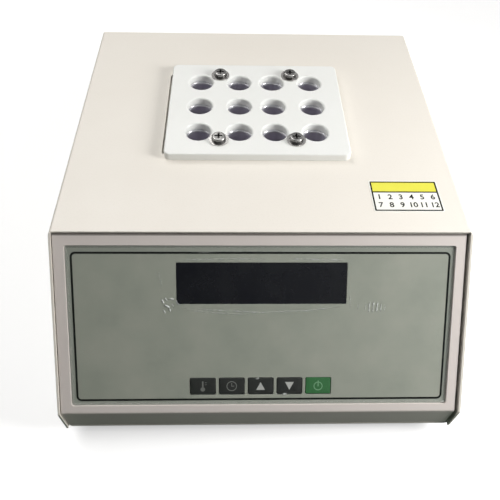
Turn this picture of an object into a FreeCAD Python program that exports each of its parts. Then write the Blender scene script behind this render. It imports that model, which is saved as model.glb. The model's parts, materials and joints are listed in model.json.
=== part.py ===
import FreeCAD, Part
import math
import os

# Bench digester: a sloping-front sheet-metal case with a heating block of twelve wells
# under a white hole plate. Millimetres, +Z up, front towards -Y, feet on Z = 0, and the
# origin at the bottom centre of the whole object.

V = FreeCAD.Vector
X_AXIS = V(1, 0, 0)
Y_AXIS = V(0, 1, 0)
Z_AXIS = V(0, 0, 1)
overrun = 2.0

# Case, driving dimensions
body_width = 240.0
top_depth = 204.6
slope_run = 74.4
slope_drop = 79.8
chin_height = 21.4
foot_height = 10.0
sheet = 1.2
bend_radius = 0.8
panel_sheet = 1.5
panel_setback = 1.0
panel_gap_left = 0.6
panel_gap_right = 2.2
top_gap = 0.6
top_flange = 12.0
bottom_flange = 14.0
flange_screw_share = 0.6
rear_setback = 1.0
rear_side_gap = 0.4
rear_flange = 12.0
tray_side_play = 0.3
tray_end_play = 0.3
tray_flange_height = 15.0
tray_notch_play = 2.0

# Opening of the front panel and the pieces behind it, measured along the slope
opening_left_margin = 8.0
opening_right_margin = 8.7
opening_top_margin = 7.9
opening_bottom_margin = 5.1
opening_corner = 1.5
membrane_thickness = 0.4
membrane_play = 0.3
film_thickness = 0.1
film_margin = 0.6
backplate_thickness = 1.5
backplate_overlap = 4.6
backplate_bottom_overlap = 2.8
stud_radius = 1.5
stud_length = 6.0
stud_outset = 2.6
stud_row_shares = (0.14, 0.5, 0.86)
thread_play = 0.05
hole_play = 0.25
weld_limit = 0.001
m3_nut_width = 5.5
m3_nut_height = 2.4
m3_head_radius = 2.75
m3_head_height = 1.8

# Display
window_left = 49.4
window_right = 49.0
window_top = 18.0
window_height = 24.3
window_corner = 0.5
window_play = 0.1
window_recess = 0.1
display_gap = 0.3
display_frame_width = 109.0
display_frame_height = 31.0
display_frame_wall = 0.8
display_frame_lip = 4.2
display_glass_play = 0.2
display_board_width = 122.0
display_board_height = 44.0
board_thickness = 1.6
board_depth = 8.0
board_hole_inset = 3.5
spacer_radius = 2.5
m3_screw_length = 5.2

# Keys
key_left = 42.2
key_width = 15.0
key_height = 10.3
key_pitch = 17.15
key_top = 87.4
key_corner = 0.8
key_play = 0.25
key_recess = 0.05
key_travel = 0.5
key_lip = 0.8
key_lip_thickness = 0.9
key_lip_play = 0.1
key_stem_radius = 2.0
key_stem_length = 1.3
key_names = ("temperature_key", "timer_key", "up_key", "down_key", "start_key")
switch_size = 6.0
switch_body_height = 3.6
switch_button_radius = 1.75
switch_gap = 0.3
control_board_margin = 10.0
control_board_above = 8.0
control_board_below = 5.5
chip_width = 18.0
chip_height = 8.0
chip_thickness = 2.6
buzzer_radius = 6.0
buzzer_height = 8.0
buzzer_x = 34.0
header_width = 22.0
header_height = 6.0
header_thickness = 9.0
header_x = -34.0

# Heating block and hole plate
block_x = -1.4
block_y_from_top_front = 106.2
block_width = 104.0
block_depth = 82.0
block_height = 58.0
heater_plate_height = 17.0
block_edge = 1.0
inner_column_pitch = 22.9
outer_column_pitch = 26.45
row_pitch = 26.4
well_radius = 8.2
plate_width = 117.7
plate_depth = 95.7
plate_thickness = 5.0
plate_corner = 4.0
plate_edge = 1.2
cutout_margin = 2.0
cutout_corner = 3.0
cover_slot = 1.9
plate_screw_x = 24.7
plate_screw_y = 34.4
plate_screw_radius = 2.5
plate_screw_bite = 14.0
plate_screw_head_radius = 4.3
plate_screw_head_height = 1.9
plate_screw_dome = 0.9
head_dome_share = 0.5
recess_width_share = 0.25
recess_width = 1.3
recess_length = 5.0
recess_depth = 1.4
flat_washer_radius = 6.3
flat_washer_thickness = 0.7
spring_washer_radius = 4.6
spring_washer_bore = 2.7
spring_washer_thickness = 0.9
spring_washer_split = 0.7
spring_washer_split_angle = 25.0
heater_radius = 5.0
heater_length = 96.0
heater_reach = 4.0
heater_play = 0.1
heater_height = 8.5
probe_radius = 2.5
probe_length = 60.0
probe_reach = 10.0
probe_collar_radius = 3.6
probe_collar_length = 4.0
cutout_switch_radius = 7.5
cutout_switch_length = 9.0
cutout_switch_ear = 27.0
cutout_switch_ear_height = 9.0
cutout_switch_ear_thickness = 1.2
cutout_screw_spread = 10.5
cutout_screw_bite = 5.0
cutout_tab_width = 6.0
cutout_tab_length = 7.0
cutout_tab_thickness = 0.8
jacket_share = 0.188
jacket_play = 0.3
jacket_top_gap = 2.0
heater_slot_margin = 8.0
probe_slot_margin = 5.5
cutout_slot_margin = 2.0
shield_sheet = 0.8
shield_play = 0.3
shield_top_gap = 4.0
shield_flange_share = 0.156
shield_screw_share = 0.72
pillar_radius = 5.0
pillar_bore = 2.1
pillar_x = 24.7
pillar_y = 36.5
pillar_play = 0.3
m4_radius = 2.0
m4_head_radius = 4.0
m4_head_height = 2.6
pillar_screw_bite = 8.0
pillar_screw_gap = 2.0

# Power entry, fuse drawer and switch, seen from behind
entry_side_margin = 42.0
entry_height = 46.0
entry_width = 48.0
entry_tall = 62.0
entry_flange = 3.0
entry_corner = 3.0
entry_body_width = 34.0
entry_body_tall = 57.0
entry_body_depth = 21.0
entry_cutout_play = 0.3
socket_width = 24.6
socket_tall = 16.6
socket_chamfer = 4.0
socket_depth = 16.0
socket_base = 4.5
pin_width = 2.0
pin_tall = 4.0
pin_pitch = 7.0
pin_rise = 2.0
pin_recess = 4.6
pin_tail = 7.0
pin_play = 0.05
drawer_base = 25.4
drawer_width = 26.0
drawer_tall = 7.2
drawer_depth = 19.0
drawer_play = 0.3
drawer_face = 1.5
drawer_face_margin = 0.8
drawer_notch_width = 8.0
drawer_notch_depth = 0.8
drawer_notch_tall = 2.0
fuse_radius = 2.5
fuse_length = 20.0
fuse_cap_length = 5.0
fuse_cap_step = 0.1
fuse_play = 0.2
fuse_depth = 11.0
rocker_base = 38.4
rocker_radius = 10.0
rocker_tall = 15.0
rocker_play = 0.3
rocker_pivot_depth = 2.5
rocker_crest = 3.0
rocker_angle = 20.0
rocker_below = 6.0
rocker_pocket_depth = 13.0
trunnion_radius = 1.5
trunnion_length = 1.4
trunnion_play = 0.05
trunnion_end_play = 0.2
entry_screw_spread = 20.5
entry_screw_radius = 1.5
entry_screw_head_radius = 2.7
entry_screw_head_height = 1.6
entry_screw_length = 8.0

# Power board, transformer and earth stud
power_board_width_share = 0.532
power_board_length = 100.0
power_board_side_gap = 3.0
power_board_front_y = -20.0
relay_width_share = 0.38
relay_length = 29.0
relay_height = 25.0
terminal_width = 10.0
terminal_length_share = 0.59
terminal_height = 11.0
capacitor_radius = 6.0
capacitor_height = 20.0
sink_width_share = 0.7
sink_length = 20.0
sink_height = 30.0
sink_fin = 1.4
sink_fins = 6
sink_base = 3.0
part_edge_gap = 3.0
transformer_width_share = 0.532
transformer_length = 44.0
transformer_height = 38.0
transformer_stack_share = 0.65
transformer_leg = 6.0
transformer_foot = 1.0
transformer_y = -20.0
transformer_gap_share = 0.06
transformer_lug = 9.0
transformer_clearance = 0.3
earth_offset = 48.0
earth_height = 24.0
earth_length = 16.0

# Wires
lead_radius = 0.9
lead_bend = 8.0
lead_run_share = 0.45
lead_landing_inset = 2.2
heater_lead_spread = 2.2
mains_run = 14.0
mains_rise = 9.0
earth_run = 7.0
cutout_run = 7.0
cutout_lead_step = 1.5
cutout_lead_z = 60.0
cutout_landing_y = 60.0
probe_lead_radius = 1.4
probe_lead_passage = 8.0
probe_lead_rise = 12.0
probe_landing_x = -12.0
cable_radius = 2.2
cable_run = 16.0
cable_rise = 8.0

# Fasteners of the case, vents and label
cover_screw_radius = 1.5
cover_screw_head_radius = 2.9
cover_screw_head_height = 1.9
cover_screw_length = 5.0
cover_screw_height = 9.0
cover_screw_shares = (0.12, 0.5, 0.88)
panel_screw_shares = (-0.38, 0.0, 0.38)
foot_radius = 10.5
foot_base_radius = 9.0
foot_recess_radius = 5.5
foot_recess_depth = 6.0
foot_inset_x = 22.0
foot_inset_y = 26.0
m4_nut_width = 7.0
m4_nut_height = 3.2
vent_width = 3.0
vent_tall = 22.0
vent_pitch = 8.0
vent_count = 9
rear_vent_margin = 68.0
rear_vent_height = 52.0
tray_vent_margin = 28.0
tray_vent_rows = 7
label_right_margin = 12.6
label_width = 41.7
label_front = 15.5
label_depth = 25.2
label_thickness = 0.15
label_corner = 1.0

# Places worked out from the driving dimensions
half_width = body_width / 2
body_depth = top_depth + slope_run
top_z = foot_height + slope_drop + chin_height
tray_top = foot_height + sheet
slope_length = math.hypot(slope_run, slope_drop)
slope_angle = math.degrees(math.atan2(slope_drop, slope_run))
slope_cos = slope_run / slope_length
slope_sin = slope_drop / slope_length
rocker_tilt = math.radians(rocker_angle)
rocker_face = (-rocker_crest * math.sin(rocker_tilt)
               + math.sqrt(rocker_radius**2 - (rocker_crest * math.cos(rocker_tilt))**2))
rocker_tip = rocker_crest + rocker_face * math.sin(rocker_tilt)
rear_projection = entry_flange + rocker_tip - rocker_pivot_depth - rear_setback
front_y = -(body_depth + rear_projection) / 2
top_front_y = front_y + slope_run
back_y = front_y + body_depth
rear_y = back_y - rear_setback
flange_z = top_z - sheet - top_gap
block_y = top_front_y + block_y_from_top_front
block_low = top_z - block_height
block_base = block_low - heater_plate_height
plate_top = top_z + plate_thickness
columns = (-inner_column_pitch / 2 - outer_column_pitch, -inner_column_pitch / 2,
           inner_column_pitch / 2, inner_column_pitch / 2 + outer_column_pitch)
rows = (-row_pitch, 0, row_pitch)
well_places = [(block_x + column, block_y + row) for row in rows for column in columns]
plate_screw_places = [(block_x + sx * plate_screw_x, block_y + sy * plate_screw_y)
                      for sy in (-1, 1) for sx in (-1, 1)]
pillar_places = [(block_x + sx * pillar_x, block_y + sy * pillar_y)
                 for sy in (-1, 1) for sx in (-1, 1)]
panel_left = -half_width + sheet + panel_gap_left
panel_right = half_width - sheet - panel_gap_right
opening_left = -half_width + opening_left_margin
opening_right = half_width - opening_right_margin
opening_top = opening_top_margin
opening_bottom = slope_length - opening_bottom_margin
cover_screw_z = foot_height + cover_screw_height
tray_flange_front = front_y + panel_setback + bottom_flange + tray_notch_play
tray_flange_back = rear_y - rear_flange - tray_notch_play
cover_screw_ys = [tray_flange_front + share * (tray_flange_back - tray_flange_front)
                  for share in cover_screw_shares]
front_screw_y = front_y + panel_setback + bottom_flange * flange_screw_share
rear_screw_y = rear_y - rear_flange * flange_screw_share
panel_screw_xs = [share * body_width for share in panel_screw_shares]
foot_places = [(sx * (half_width - foot_inset_x), y)
               for y in (front_y + foot_inset_y, back_y - foot_inset_y) for sx in (-1, 1)]

label_left = half_width - label_right_margin - label_width
rear_vent_x = rear_vent_margin - half_width
tray_vent_x = half_width - tray_vent_margin

# What shares the space between the block and the tray's sides
tray_inside = half_width - sheet - tray_side_play - sheet
side_space = tray_inside - block_width / 2 - abs(block_x)
jacket_thickness = side_space * jacket_share
shield_flange = side_space * shield_flange_share
power_board_width = side_space * power_board_width_share
relay_width = power_board_width * relay_width_share
terminal_length = power_board_width * terminal_length_share
sink_width = power_board_width * sink_width_share
transformer_width = side_space * transformer_width_share
transformer_stack = transformer_width * transformer_stack_share
transformer_gap = side_space * transformer_gap_share

# The heater's places
heater_z = block_base + heater_height
heater_end_x = block_x + block_width / 2
probe_y = block_y + row_pitch / 2
cutout_y = block_y + block_depth / 2
shield_half_x = block_width / 2 + jacket_play + jacket_thickness + shield_play + shield_sheet
shield_half_y = block_depth / 2 + jacket_play + jacket_thickness + shield_play + shield_sheet
shield_screw_places = [(block_x + sx * (shield_half_x + shield_flange / 2),
                        block_y + sy * shield_half_y * shield_screw_share)
                       for sy in (-1, 1) for sx in (-1, 1)]

# Places on the floor and on the rear wall
power_board_right = tray_inside - power_board_side_gap
power_board_left = power_board_right - power_board_width
power_board_back_y = power_board_front_y + power_board_length
power_board_top = tray_top + board_depth + board_thickness
power_board_places = [(x, y)
                      for x in (power_board_left + board_hole_inset, power_board_right - board_hole_inset)
                      for y in (power_board_front_y + board_hole_inset,
                                power_board_back_y - board_hole_inset)]
terminal_x = (power_board_left + power_board_right) / 2
terminal_y = power_board_back_y - 2 * board_hole_inset - terminal_width / 2
transformer_x = transformer_gap + transformer_width / 2 - tray_inside
transformer_reach = (transformer_length + transformer_lug) / 2
transformer_screw_places = [(transformer_x, transformer_y + side * transformer_reach) for side in (-1, 1)]
entry_x = half_width - entry_side_margin
entry_z = foot_height + entry_height
earth_x = entry_x - earth_offset
earth_z = foot_height + earth_height
entry_face = rear_y + entry_flange
entry_low = entry_z - entry_body_tall / 2
socket_z = entry_low + socket_base + socket_tall / 2
drawer_z = entry_low + drawer_base + drawer_tall / 2
rocker_z = entry_low + rocker_base + rocker_tall / 2
pivot_y = entry_face - rocker_pivot_depth
pin_places = [(entry_x - pin_pitch, socket_z - pin_rise), (entry_x + pin_pitch, socket_z - pin_rise),
              (entry_x, socket_z + pin_rise)]

# Depths below the plane of the cover's sloping edges
panel_face = panel_setback
panel_back = panel_face + panel_sheet
backplate_back = panel_back + backplate_thickness
membrane_face = panel_back - membrane_thickness
board_face = backplate_back + board_depth
board_back = board_face + board_thickness
window_middle = window_top + window_height / 2
key_middle = key_top + key_height / 2
key_centres = [-key_left + key_width / 2 + i * key_pitch for i in range(len(key_names))]
key_lip_end = backplate_back + key_lip_play + key_lip_thickness
key_stem_end = key_lip_end + key_stem_length

parts = {}
tray_screws = []
m3_screws = []
board_spacers = []
m3_nuts = []
m4_nuts = []


# Shapes that the pieces share
def box(x0, x1, y0, y1, z0, z1):
    return Part.makeBox(x1 - x0, y1 - y0, z1 - z0, V(x0, y0, z0))


def rod(radius, length, base, axis):
    return Part.makeCylinder(radius, length, base, axis)


def tube(outer, inner, length, base, axis):
    return rod(outer, length, base, axis).cut(rod(inner, length, base, axis))


def rectangle(a0, a1, b0, b1, radius=0):
    return [(a0, b0, radius), (a1, b0, radius), (a1, b1, radius), (a0, b1, radius)]


def closed_wire(points, place):
    """A closed outline through (a, b, radius) corners, each rounded by an arc."""
    corners = []
    for i, (a, b, radius) in enumerate(points):
        here = V(a, b, 0)
        if radius == 0:
            corners.append((here, here, here))
            continue
        before = V(points[i - 1][0], points[i - 1][1], 0) - here
        following = points[(i + 1) % len(points)]
        after = V(following[0], following[1], 0) - here
        before.normalize()
        after.normalize()
        half = before.getAngle(after) / 2
        middle = before + after
        middle.normalize()
        reach = radius / math.tan(half)
        crown = radius / math.sin(half) - radius
        corners.append((here + before * reach, here + middle * crown, here + after * reach))
    edges = []
    for i, (start, crown, end) in enumerate(corners):
        if points[i][2] > 0:
            edges.append(Part.Arc(place(start), place(crown), place(end)).toShape())
        following = corners[(i + 1) % len(corners)][0]
        if (following - end).Length > weld_limit:
            edges.append(Part.LineSegment(place(end), place(following)).toShape())
    return Part.Wire(edges)


def prism(points, low, high, axis):
    """A rounded outline in the plane across an axis, drawn out from low to high along it."""
    places = {"x": lambda p: V(low, p.x, p.y), "y": lambda p: V(p.x, low, p.y),
              "z": lambda p: V(p.x, p.y, low)}
    reach = {"x": X_AXIS, "y": Y_AXIS, "z": Z_AXIS}[axis] * (high - low)
    return Part.Face(closed_wire(points, places[axis])).extrude(reach)


def sheet_section(path, thickness):
    """The closed section of a bent sheet whose one face follows the path; it lies to its left."""
    steps = []
    for (a0, b0), (a1, b1) in zip(path, path[1:]):
        length = math.hypot(a1 - a0, b1 - b0)
        steps.append(((a1 - a0) / length, (b1 - b0) / length))
    face = []
    back = []
    for i, (a, b) in enumerate(path):
        first = steps[max(i - 1, 0)]
        second = steps[min(i, len(steps) - 1)]
        turn = first[0] * second[1] - first[1] * second[0]
        mitre = thickness / (1 + first[0] * second[0] + first[1] * second[1])
        offset = (-(first[1] + second[1]) * mitre, (first[0] + second[0]) * mitre)
        near = far = 0
        if turn > 0:
            near = bend_radius + thickness
            far = bend_radius
        if turn < 0:
            near = bend_radius
            far = bend_radius + thickness
        face.append((a, b, near))
        back.append((a + offset[0], b + offset[1], far))
    return face + back[::-1]


def on_slope(shape):
    """Moves a piece drawn flat (x across, y up the slope, z out of it) on to the sloping front."""
    placed = shape.copy()
    turn = FreeCAD.Rotation(X_AXIS, slope_angle)
    placed.Placement = FreeCAD.Placement(V(0, top_front_y, top_z), turn).multiply(placed.Placement)
    return placed


def slope_slab(x0, x1, top, bottom, face, back, radius=0):
    """A flat slab in the slope's own frame, from its top to its bottom edge and face to back."""
    return prism(rectangle(x0, x1, -bottom, -top, radius), -back, -face, "z")


def slope_rod(radius, x, down, face, back):
    return rod(radius, back - face, V(x, -down, -back), Z_AXIS)


def cut_all(shape, tools):
    return shape.cut(Part.makeCompound(tools)) if tools else shape


def nut(width, height, bore, base, axis):
    """A hexagon nut, standing on its base point along an axis."""
    corner = width / math.sqrt(3)
    ring = [V(corner * math.cos(i * math.pi / 3), corner * math.sin(i * math.pi / 3), 0)
            for i in range(7)]
    body = Part.Face(Part.makePolygon(ring)).extrude(Z_AXIS * height)
    body = body.cut(rod(bore, height, V(0, 0, 0), Z_AXIS))
    body.Placement = FreeCAD.Placement(base, FreeCAD.Rotation(Z_AXIS, axis))
    return body


def cross_recess(width, length, depth, top):
    """The cross cut into a screw's head, open at its top."""
    bars = [box(-length / 2, length / 2, -width / 2, width / 2, top - depth, top + overrun),
            box(-width / 2, width / 2, -length / 2, length / 2, top - depth, top + overrun)]
    return bars[0].fuse(bars[1])


def pan_screw(radius, length, head_radius, head_height, base, axis):
    """A pan-head screw with a cross recess: the shank runs back from the base, the head out."""
    head = rod(head_radius, head_height, V(0, 0, 0), Z_AXIS)
    rim = [edge for edge in head.Edges if edge.BoundBox.ZMin > head_height / 2]
    head = head.makeFillet(head_height * head_dome_share, rim)
    head = head.cut(cross_recess(head_radius * recess_width_share, head_radius, head_height / 2, head_height))
    screw = head.fuse(rod(radius, length, V(0, 0, -length), Z_AXIS))
    screw.Placement = FreeCAD.Placement(base, FreeCAD.Rotation(Z_AXIS, axis))
    return screw


def group(shapes):
    return Part.makeCompound(shapes)


def m3_nut(base, axis):
    return nut(m3_nut_width, m3_nut_height, stud_radius + thread_play, base, axis)


def m4_nut(base, axis):
    return nut(m4_nut_width, m4_nut_height, m4_radius + thread_play, base, axis)


def m3_screw(base, axis):
    return pan_screw(stud_radius, m3_screw_length, m3_head_radius, m3_head_height, base, axis)


def lead(points, radius):
    """A wire along straight runs joined by arcs as large as the runs and the bend limit allow."""
    corners = [V(*point) for point in points]
    edges = []
    start = corners[0]
    for before, here, after in zip(corners, corners[1:], corners[2:]):
        back = before - here
        ahead = after - here
        run = min(back.Length, ahead.Length) * lead_run_share
        back.normalize()
        ahead.normalize()
        half = back.getAngle(ahead) / 2
        bend = min(run * math.tan(half), lead_bend)
        reach = bend / math.tan(half)
        middle = back + ahead
        middle.normalize()
        first = here + back * reach
        edges.append(Part.LineSegment(start, first).toShape())
        start = here + ahead * reach
        crown = here + middle * (bend / math.sin(half) - bend)
        edges.append(Part.Arc(first, crown, start).toShape())
    edges.append(Part.LineSegment(start, corners[-1]).toShape())
    ring = Part.Wire(Part.Circle(corners[0], corners[1] - corners[0], radius).toShape())
    return Part.Wire(edges).makePipeShell([ring], True, False)


# Case
def make_cover():
    """The U-shaped cover: top and two sides in one sheet, its sides' front edges following the slope.

    The opening over the block reaches past the hole plate's left edge, where it shows as a dark slot. The top's
    own front edge is cut square, so a narrow gap is left above the front panel's upper bend."""
    path = [(half_width, foot_height), (half_width, top_z), (-half_width, top_z), (-half_width, foot_height)]
    shell = prism(sheet_section(path, sheet), front_y, back_y, "y")
    side = [(front_y, foot_height, 0), (front_y, foot_height + chin_height, 0), (top_front_y, top_z, 0),
            (back_y, top_z, 0), (back_y, foot_height, 0)]
    shell = shell.common(prism(side, -half_width, half_width, "x"))
    reach_x = block_width / 2 + cutout_margin
    reach_y = block_depth / 2 + cutout_margin
    cutout_left = block_x - plate_width / 2 - cover_slot
    outline = rectangle(cutout_left, block_x + reach_x, block_y - reach_y, block_y + reach_y, cutout_corner)
    tools = [prism(outline, top_z - sheet - overrun, top_z + overrun, "z"),
             box(sheet - half_width, half_width - sheet, front_y, top_front_y, top_z - 2 * sheet, top_z + overrun)]
    for y in cover_screw_ys:
        tools.append(rod(cover_screw_radius + hole_play, body_width + 2 * overrun,
                         V(-half_width - overrun, y, cover_screw_z), X_AXIS))
    return cut_all(shell, tools)


def slope_point(down, depth):
    """The (y, z) of a point down the slope and below its plane."""
    return (top_front_y - slope_cos * down + slope_sin * depth, top_z - slope_sin * down - slope_cos * depth)


def stud_places():
    """The six welded studs beside the opening, as (x, distance down the slope)."""
    span = opening_bottom - opening_top
    return [(x, opening_top + share * span) for x in (opening_left - stud_outset, opening_right + stud_outset)
            for share in stud_row_shares]


def make_front_panel():
    """Top flange, sloping face, chin and bottom flange in one bent sheet, with welded studs inside."""
    corner_down = (top_z - flange_z - panel_face * slope_cos) / slope_sin
    corner_y = slope_point(corner_down, panel_face)[0]
    chin_y = front_y + panel_setback
    bend_down = (slope_run + panel_face * slope_sin - panel_setback) / slope_cos
    bend_z = slope_point(bend_down, panel_face)[1]
    path = [(corner_y + top_flange, flange_z), (corner_y, flange_z), (chin_y, bend_z), (chin_y, tray_top),
            (chin_y + bottom_flange, tray_top)]
    panel = prism(sheet_section(path, panel_sheet), panel_left, panel_right, "x")
    opening = slope_slab(opening_left, opening_right, opening_top, opening_bottom, -overrun,
                         panel_back + overrun, opening_corner)
    panel = panel.cut(on_slope(opening))
    studs = [on_slope(slope_rod(stud_radius, x, down, panel_back, panel_back + stud_length))
             for x, down in stud_places()]
    panel = panel.fuse(studs)
    holes = [rod(cover_screw_radius + thread_play, panel_sheet + 2 * overrun,
                 V(x, front_screw_y, tray_top - overrun), Z_AXIS) for x in panel_screw_xs]
    return cut_all(panel, holes)


def make_base_tray():
    """The floor of the case, with two upturned sides that the cover is screwed to."""
    reach = half_width - sheet - tray_side_play
    top = foot_height + tray_flange_height
    path = [(-reach, top), (-reach, foot_height), (reach, foot_height), (reach, top)]
    low_y = front_y + panel_setback + tray_end_play
    high_y = rear_y - tray_end_play
    tray = prism(sheet_section(path, sheet), low_y, high_y, "y")
    tools = []
    for near, far in ((low_y - overrun, tray_flange_front), (tray_flange_back, high_y + overrun)):
        tools.append(box(-half_width, half_width, near, far, tray_top, top + overrun))
    for y in cover_screw_ys:
        tools.append(rod(cover_screw_radius + thread_play, body_width, V(-half_width, y, cover_screw_z),
                         X_AXIS))
    base = foot_height - overrun
    depth = sheet + 2 * overrun
    for x in panel_screw_xs:
        for y in (front_screw_y, rear_screw_y):
            tools.append(rod(cover_screw_radius + hole_play, depth, V(x, y, base), Z_AXIS))
    for x, y in foot_places + pillar_places + transformer_screw_places:
        tools.append(rod(m4_radius + hole_play, depth, V(x, y, base), Z_AXIS))
    for x, y in shield_screw_places + power_board_places:
        tools.append(rod(cover_screw_radius + hole_play, depth, V(x, y, base), Z_AXIS))
    for side in (-1, 1):
        for i in range(tray_vent_rows):
            y = block_y + (i - (tray_vent_rows - 1) / 2) * vent_pitch
            x = side * tray_vent_x
            slot = rectangle(x - vent_tall / 2, x + vent_tall / 2, y - vent_width / 2, y + vent_width / 2)
            tools.append(prism(slot, base, base + depth, "z"))
    return cut_all(tray, tools)


def make_rear_panel():
    """The rear wall with top and bottom flanges, vent slots and the power entry's hole."""
    path = [(rear_y - rear_flange, tray_top), (rear_y, tray_top), (rear_y, flange_z),
            (rear_y - rear_flange, flange_z)]
    reach = half_width - sheet - rear_side_gap
    panel = prism(sheet_section(path, sheet), -reach, reach, "x")
    low_y = rear_y - sheet - overrun
    high_y = rear_y + overrun
    wide = entry_body_width / 2 + entry_cutout_play
    tall = entry_body_tall / 2 + entry_cutout_play
    middle = entry_height + foot_height
    tools = [box(entry_x - wide, entry_x + wide, low_y, high_y, middle - tall, middle + tall)]
    for side in (-1, 1):
        tools.append(rod(entry_screw_radius + hole_play, high_y - low_y,
                         V(entry_x + side * entry_screw_spread, low_y, middle), Y_AXIS))
    tools.append(rod(m4_radius + hole_play, high_y - low_y, V(earth_x, low_y, earth_z), Y_AXIS))
    for i in range(vent_count):
        x = rear_vent_x + (i - (vent_count - 1) / 2) * vent_pitch
        z = foot_height + rear_vent_height
        slot = rectangle(x - vent_width / 2, x + vent_width / 2, z - vent_tall / 2, z + vent_tall / 2)
        tools.append(prism(slot, low_y, high_y, "y"))
    for x in panel_screw_xs:
        tools.append(rod(cover_screw_radius + thread_play, sheet + 2 * overrun,
                         V(x, rear_screw_y, tray_top - overrun), Z_AXIS))
    return cut_all(panel, tools)


def make_case():
    parts["cover"] = make_cover()
    parts["front_panel"] = make_front_panel()
    parts["base_tray"] = make_base_tray()
    parts["rear_panel"] = make_rear_panel()
    screws = []
    for y in cover_screw_ys:
        for side in (-1, 1):
            screws.append(pan_screw(cover_screw_radius, cover_screw_length, cover_screw_head_radius,
                                    cover_screw_head_height, V(side * half_width, y, cover_screw_z),
                                    V(side, 0, 0)))
    parts["cover_screws"] = group(screws)
    for y in (front_screw_y, rear_screw_y):
        tray_screws.extend([m3_screw(V(x, y, foot_height), -Z_AXIS) for x in panel_screw_xs])
    feet = []
    screws = []
    for x, y in foot_places:
        foot = Part.makeCone(foot_base_radius, foot_radius, foot_height, V(x, y, 0), Z_AXIS)
        foot = foot.cut(rod(foot_recess_radius, foot_recess_depth, V(x, y, 0), Z_AXIS))
        feet.append(foot.cut(rod(m4_radius + hole_play, foot_height, V(x, y, 0), Z_AXIS)))
        length = foot_height - foot_recess_depth + sheet + m4_nut_height + sheet
        screws.append(pan_screw(m4_radius, length, m4_head_radius, m4_head_height, V(x, y, foot_recess_depth),
                                -Z_AXIS))
        m4_nuts.append(m4_nut(V(x, y, tray_top), Z_AXIS))
    parts["rubber_feet"] = group(feet)
    parts["foot_screws"] = group(screws)
    label = rectangle(label_left, label_left + label_width, top_front_y + label_front,
                      top_front_y + label_front + label_depth, label_corner)
    parts["number_label"] = prism(label, top_z, top_z + label_thickness, "z")


# Front console, drawn flat in the slope's own frame
def window_slab(play, face, back):
    return slope_slab(-window_left - play, window_right + play, window_top - play,
                      window_top + window_height + play, face, back, window_corner)


def key_slab(x, play, face, back):
    return slope_slab(x - key_width / 2 - play, x + key_width / 2 + play, key_top - play,
                      key_top + key_height + play, face, back, key_corner)


def make_console():
    holes = [window_slab(window_play, -overrun, backplate_back + overrun)]
    holes += [key_slab(x, key_play, -overrun, backplate_back + overrun) for x in key_centres]
    plate = slope_slab(opening_left - backplate_overlap, opening_right + backplate_overlap,
                       opening_top - backplate_overlap, opening_bottom + backplate_bottom_overlap,
                       panel_back, backplate_back)
    stud_holes = [slope_rod(stud_radius + hole_play, x, down, 0, backplate_back + overrun)
                  for x, down in stud_places()]
    parts["overlay_backplate"] = on_slope(cut_all(plate, holes + stud_holes))
    m3_nuts.extend([on_slope(m3_nut(V(x, -down, -backplate_back), -Z_AXIS)) for x, down in stud_places()])
    membrane = slope_slab(opening_left + membrane_play, opening_right - membrane_play,
                          opening_top + membrane_play, opening_bottom - membrane_play,
                          membrane_face, panel_back, opening_corner)
    parts["membrane_overlay"] = on_slope(cut_all(membrane, holes))
    inset = membrane_play + film_margin
    film = slope_slab(opening_left + inset, opening_right - inset, opening_top + inset,
                      opening_bottom - inset, membrane_face - film_thickness, membrane_face, opening_corner)
    parts["protective_film"] = on_slope(film)
    parts["display_window"] = on_slope(window_slab(0, membrane_face + window_recess, backplate_back))
    make_display()
    make_keys()


def screw_on_slope(x, down):
    """A board screw from behind, into its spacer."""
    return on_slope(m3_screw(V(x, -down, -board_back), -Z_AXIS))


def spacer_on_slope(x, down):
    spacer = slope_rod(spacer_radius, x, down, backplate_back, board_face)
    return on_slope(spacer.cut(slope_rod(stud_radius + thread_play, x, down, backplate_back, board_face)))


def display_hole_places():
    reach_x = display_board_width / 2 - board_hole_inset
    reach_y = display_board_height / 2 - board_hole_inset
    return [(sx * reach_x, window_middle + sy * reach_y) for sy in (-1, 1) for sx in (-1, 1)]


def make_display():
    face = backplate_back + display_gap
    half_x = display_frame_width / 2
    half_y = display_frame_height / 2
    wall = display_frame_wall
    frame = slope_slab(-half_x, half_x, window_middle - half_y, window_middle + half_y, face, board_face)
    cavity = slope_slab(-half_x + wall, half_x - wall, window_middle - half_y + wall,
                        window_middle + half_y - wall, face + wall, board_face + overrun)
    lip = display_frame_lip
    view = slope_slab(-half_x + lip, half_x - lip, window_middle - half_y + lip, window_middle + half_y - lip,
                      -overrun, board_face)
    parts["display_frame"] = on_slope(frame.cut(cavity).cut(view))
    inset = wall + display_glass_play
    glass = slope_slab(-half_x + inset, half_x - inset, window_middle - half_y + inset,
                       window_middle + half_y - inset, face + inset, board_face)
    parts["display_glass"] = on_slope(glass)
    half_x = display_board_width / 2
    half_y = display_board_height / 2
    board = slope_slab(-half_x, half_x, window_middle - half_y, window_middle + half_y, board_face,
                       board_back)
    places = display_hole_places()
    parts["display_board"] = on_slope(cut_all(board, board_holes(places)))
    board_spacers.extend([spacer_on_slope(x, down) for x, down in places])
    m3_screws.extend([screw_on_slope(x, down) for x, down in places])


def board_holes(places):
    return [slope_rod(stud_radius + hole_play, x, down, board_face - overrun, board_back + overrun)
            for x, down in places]


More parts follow.
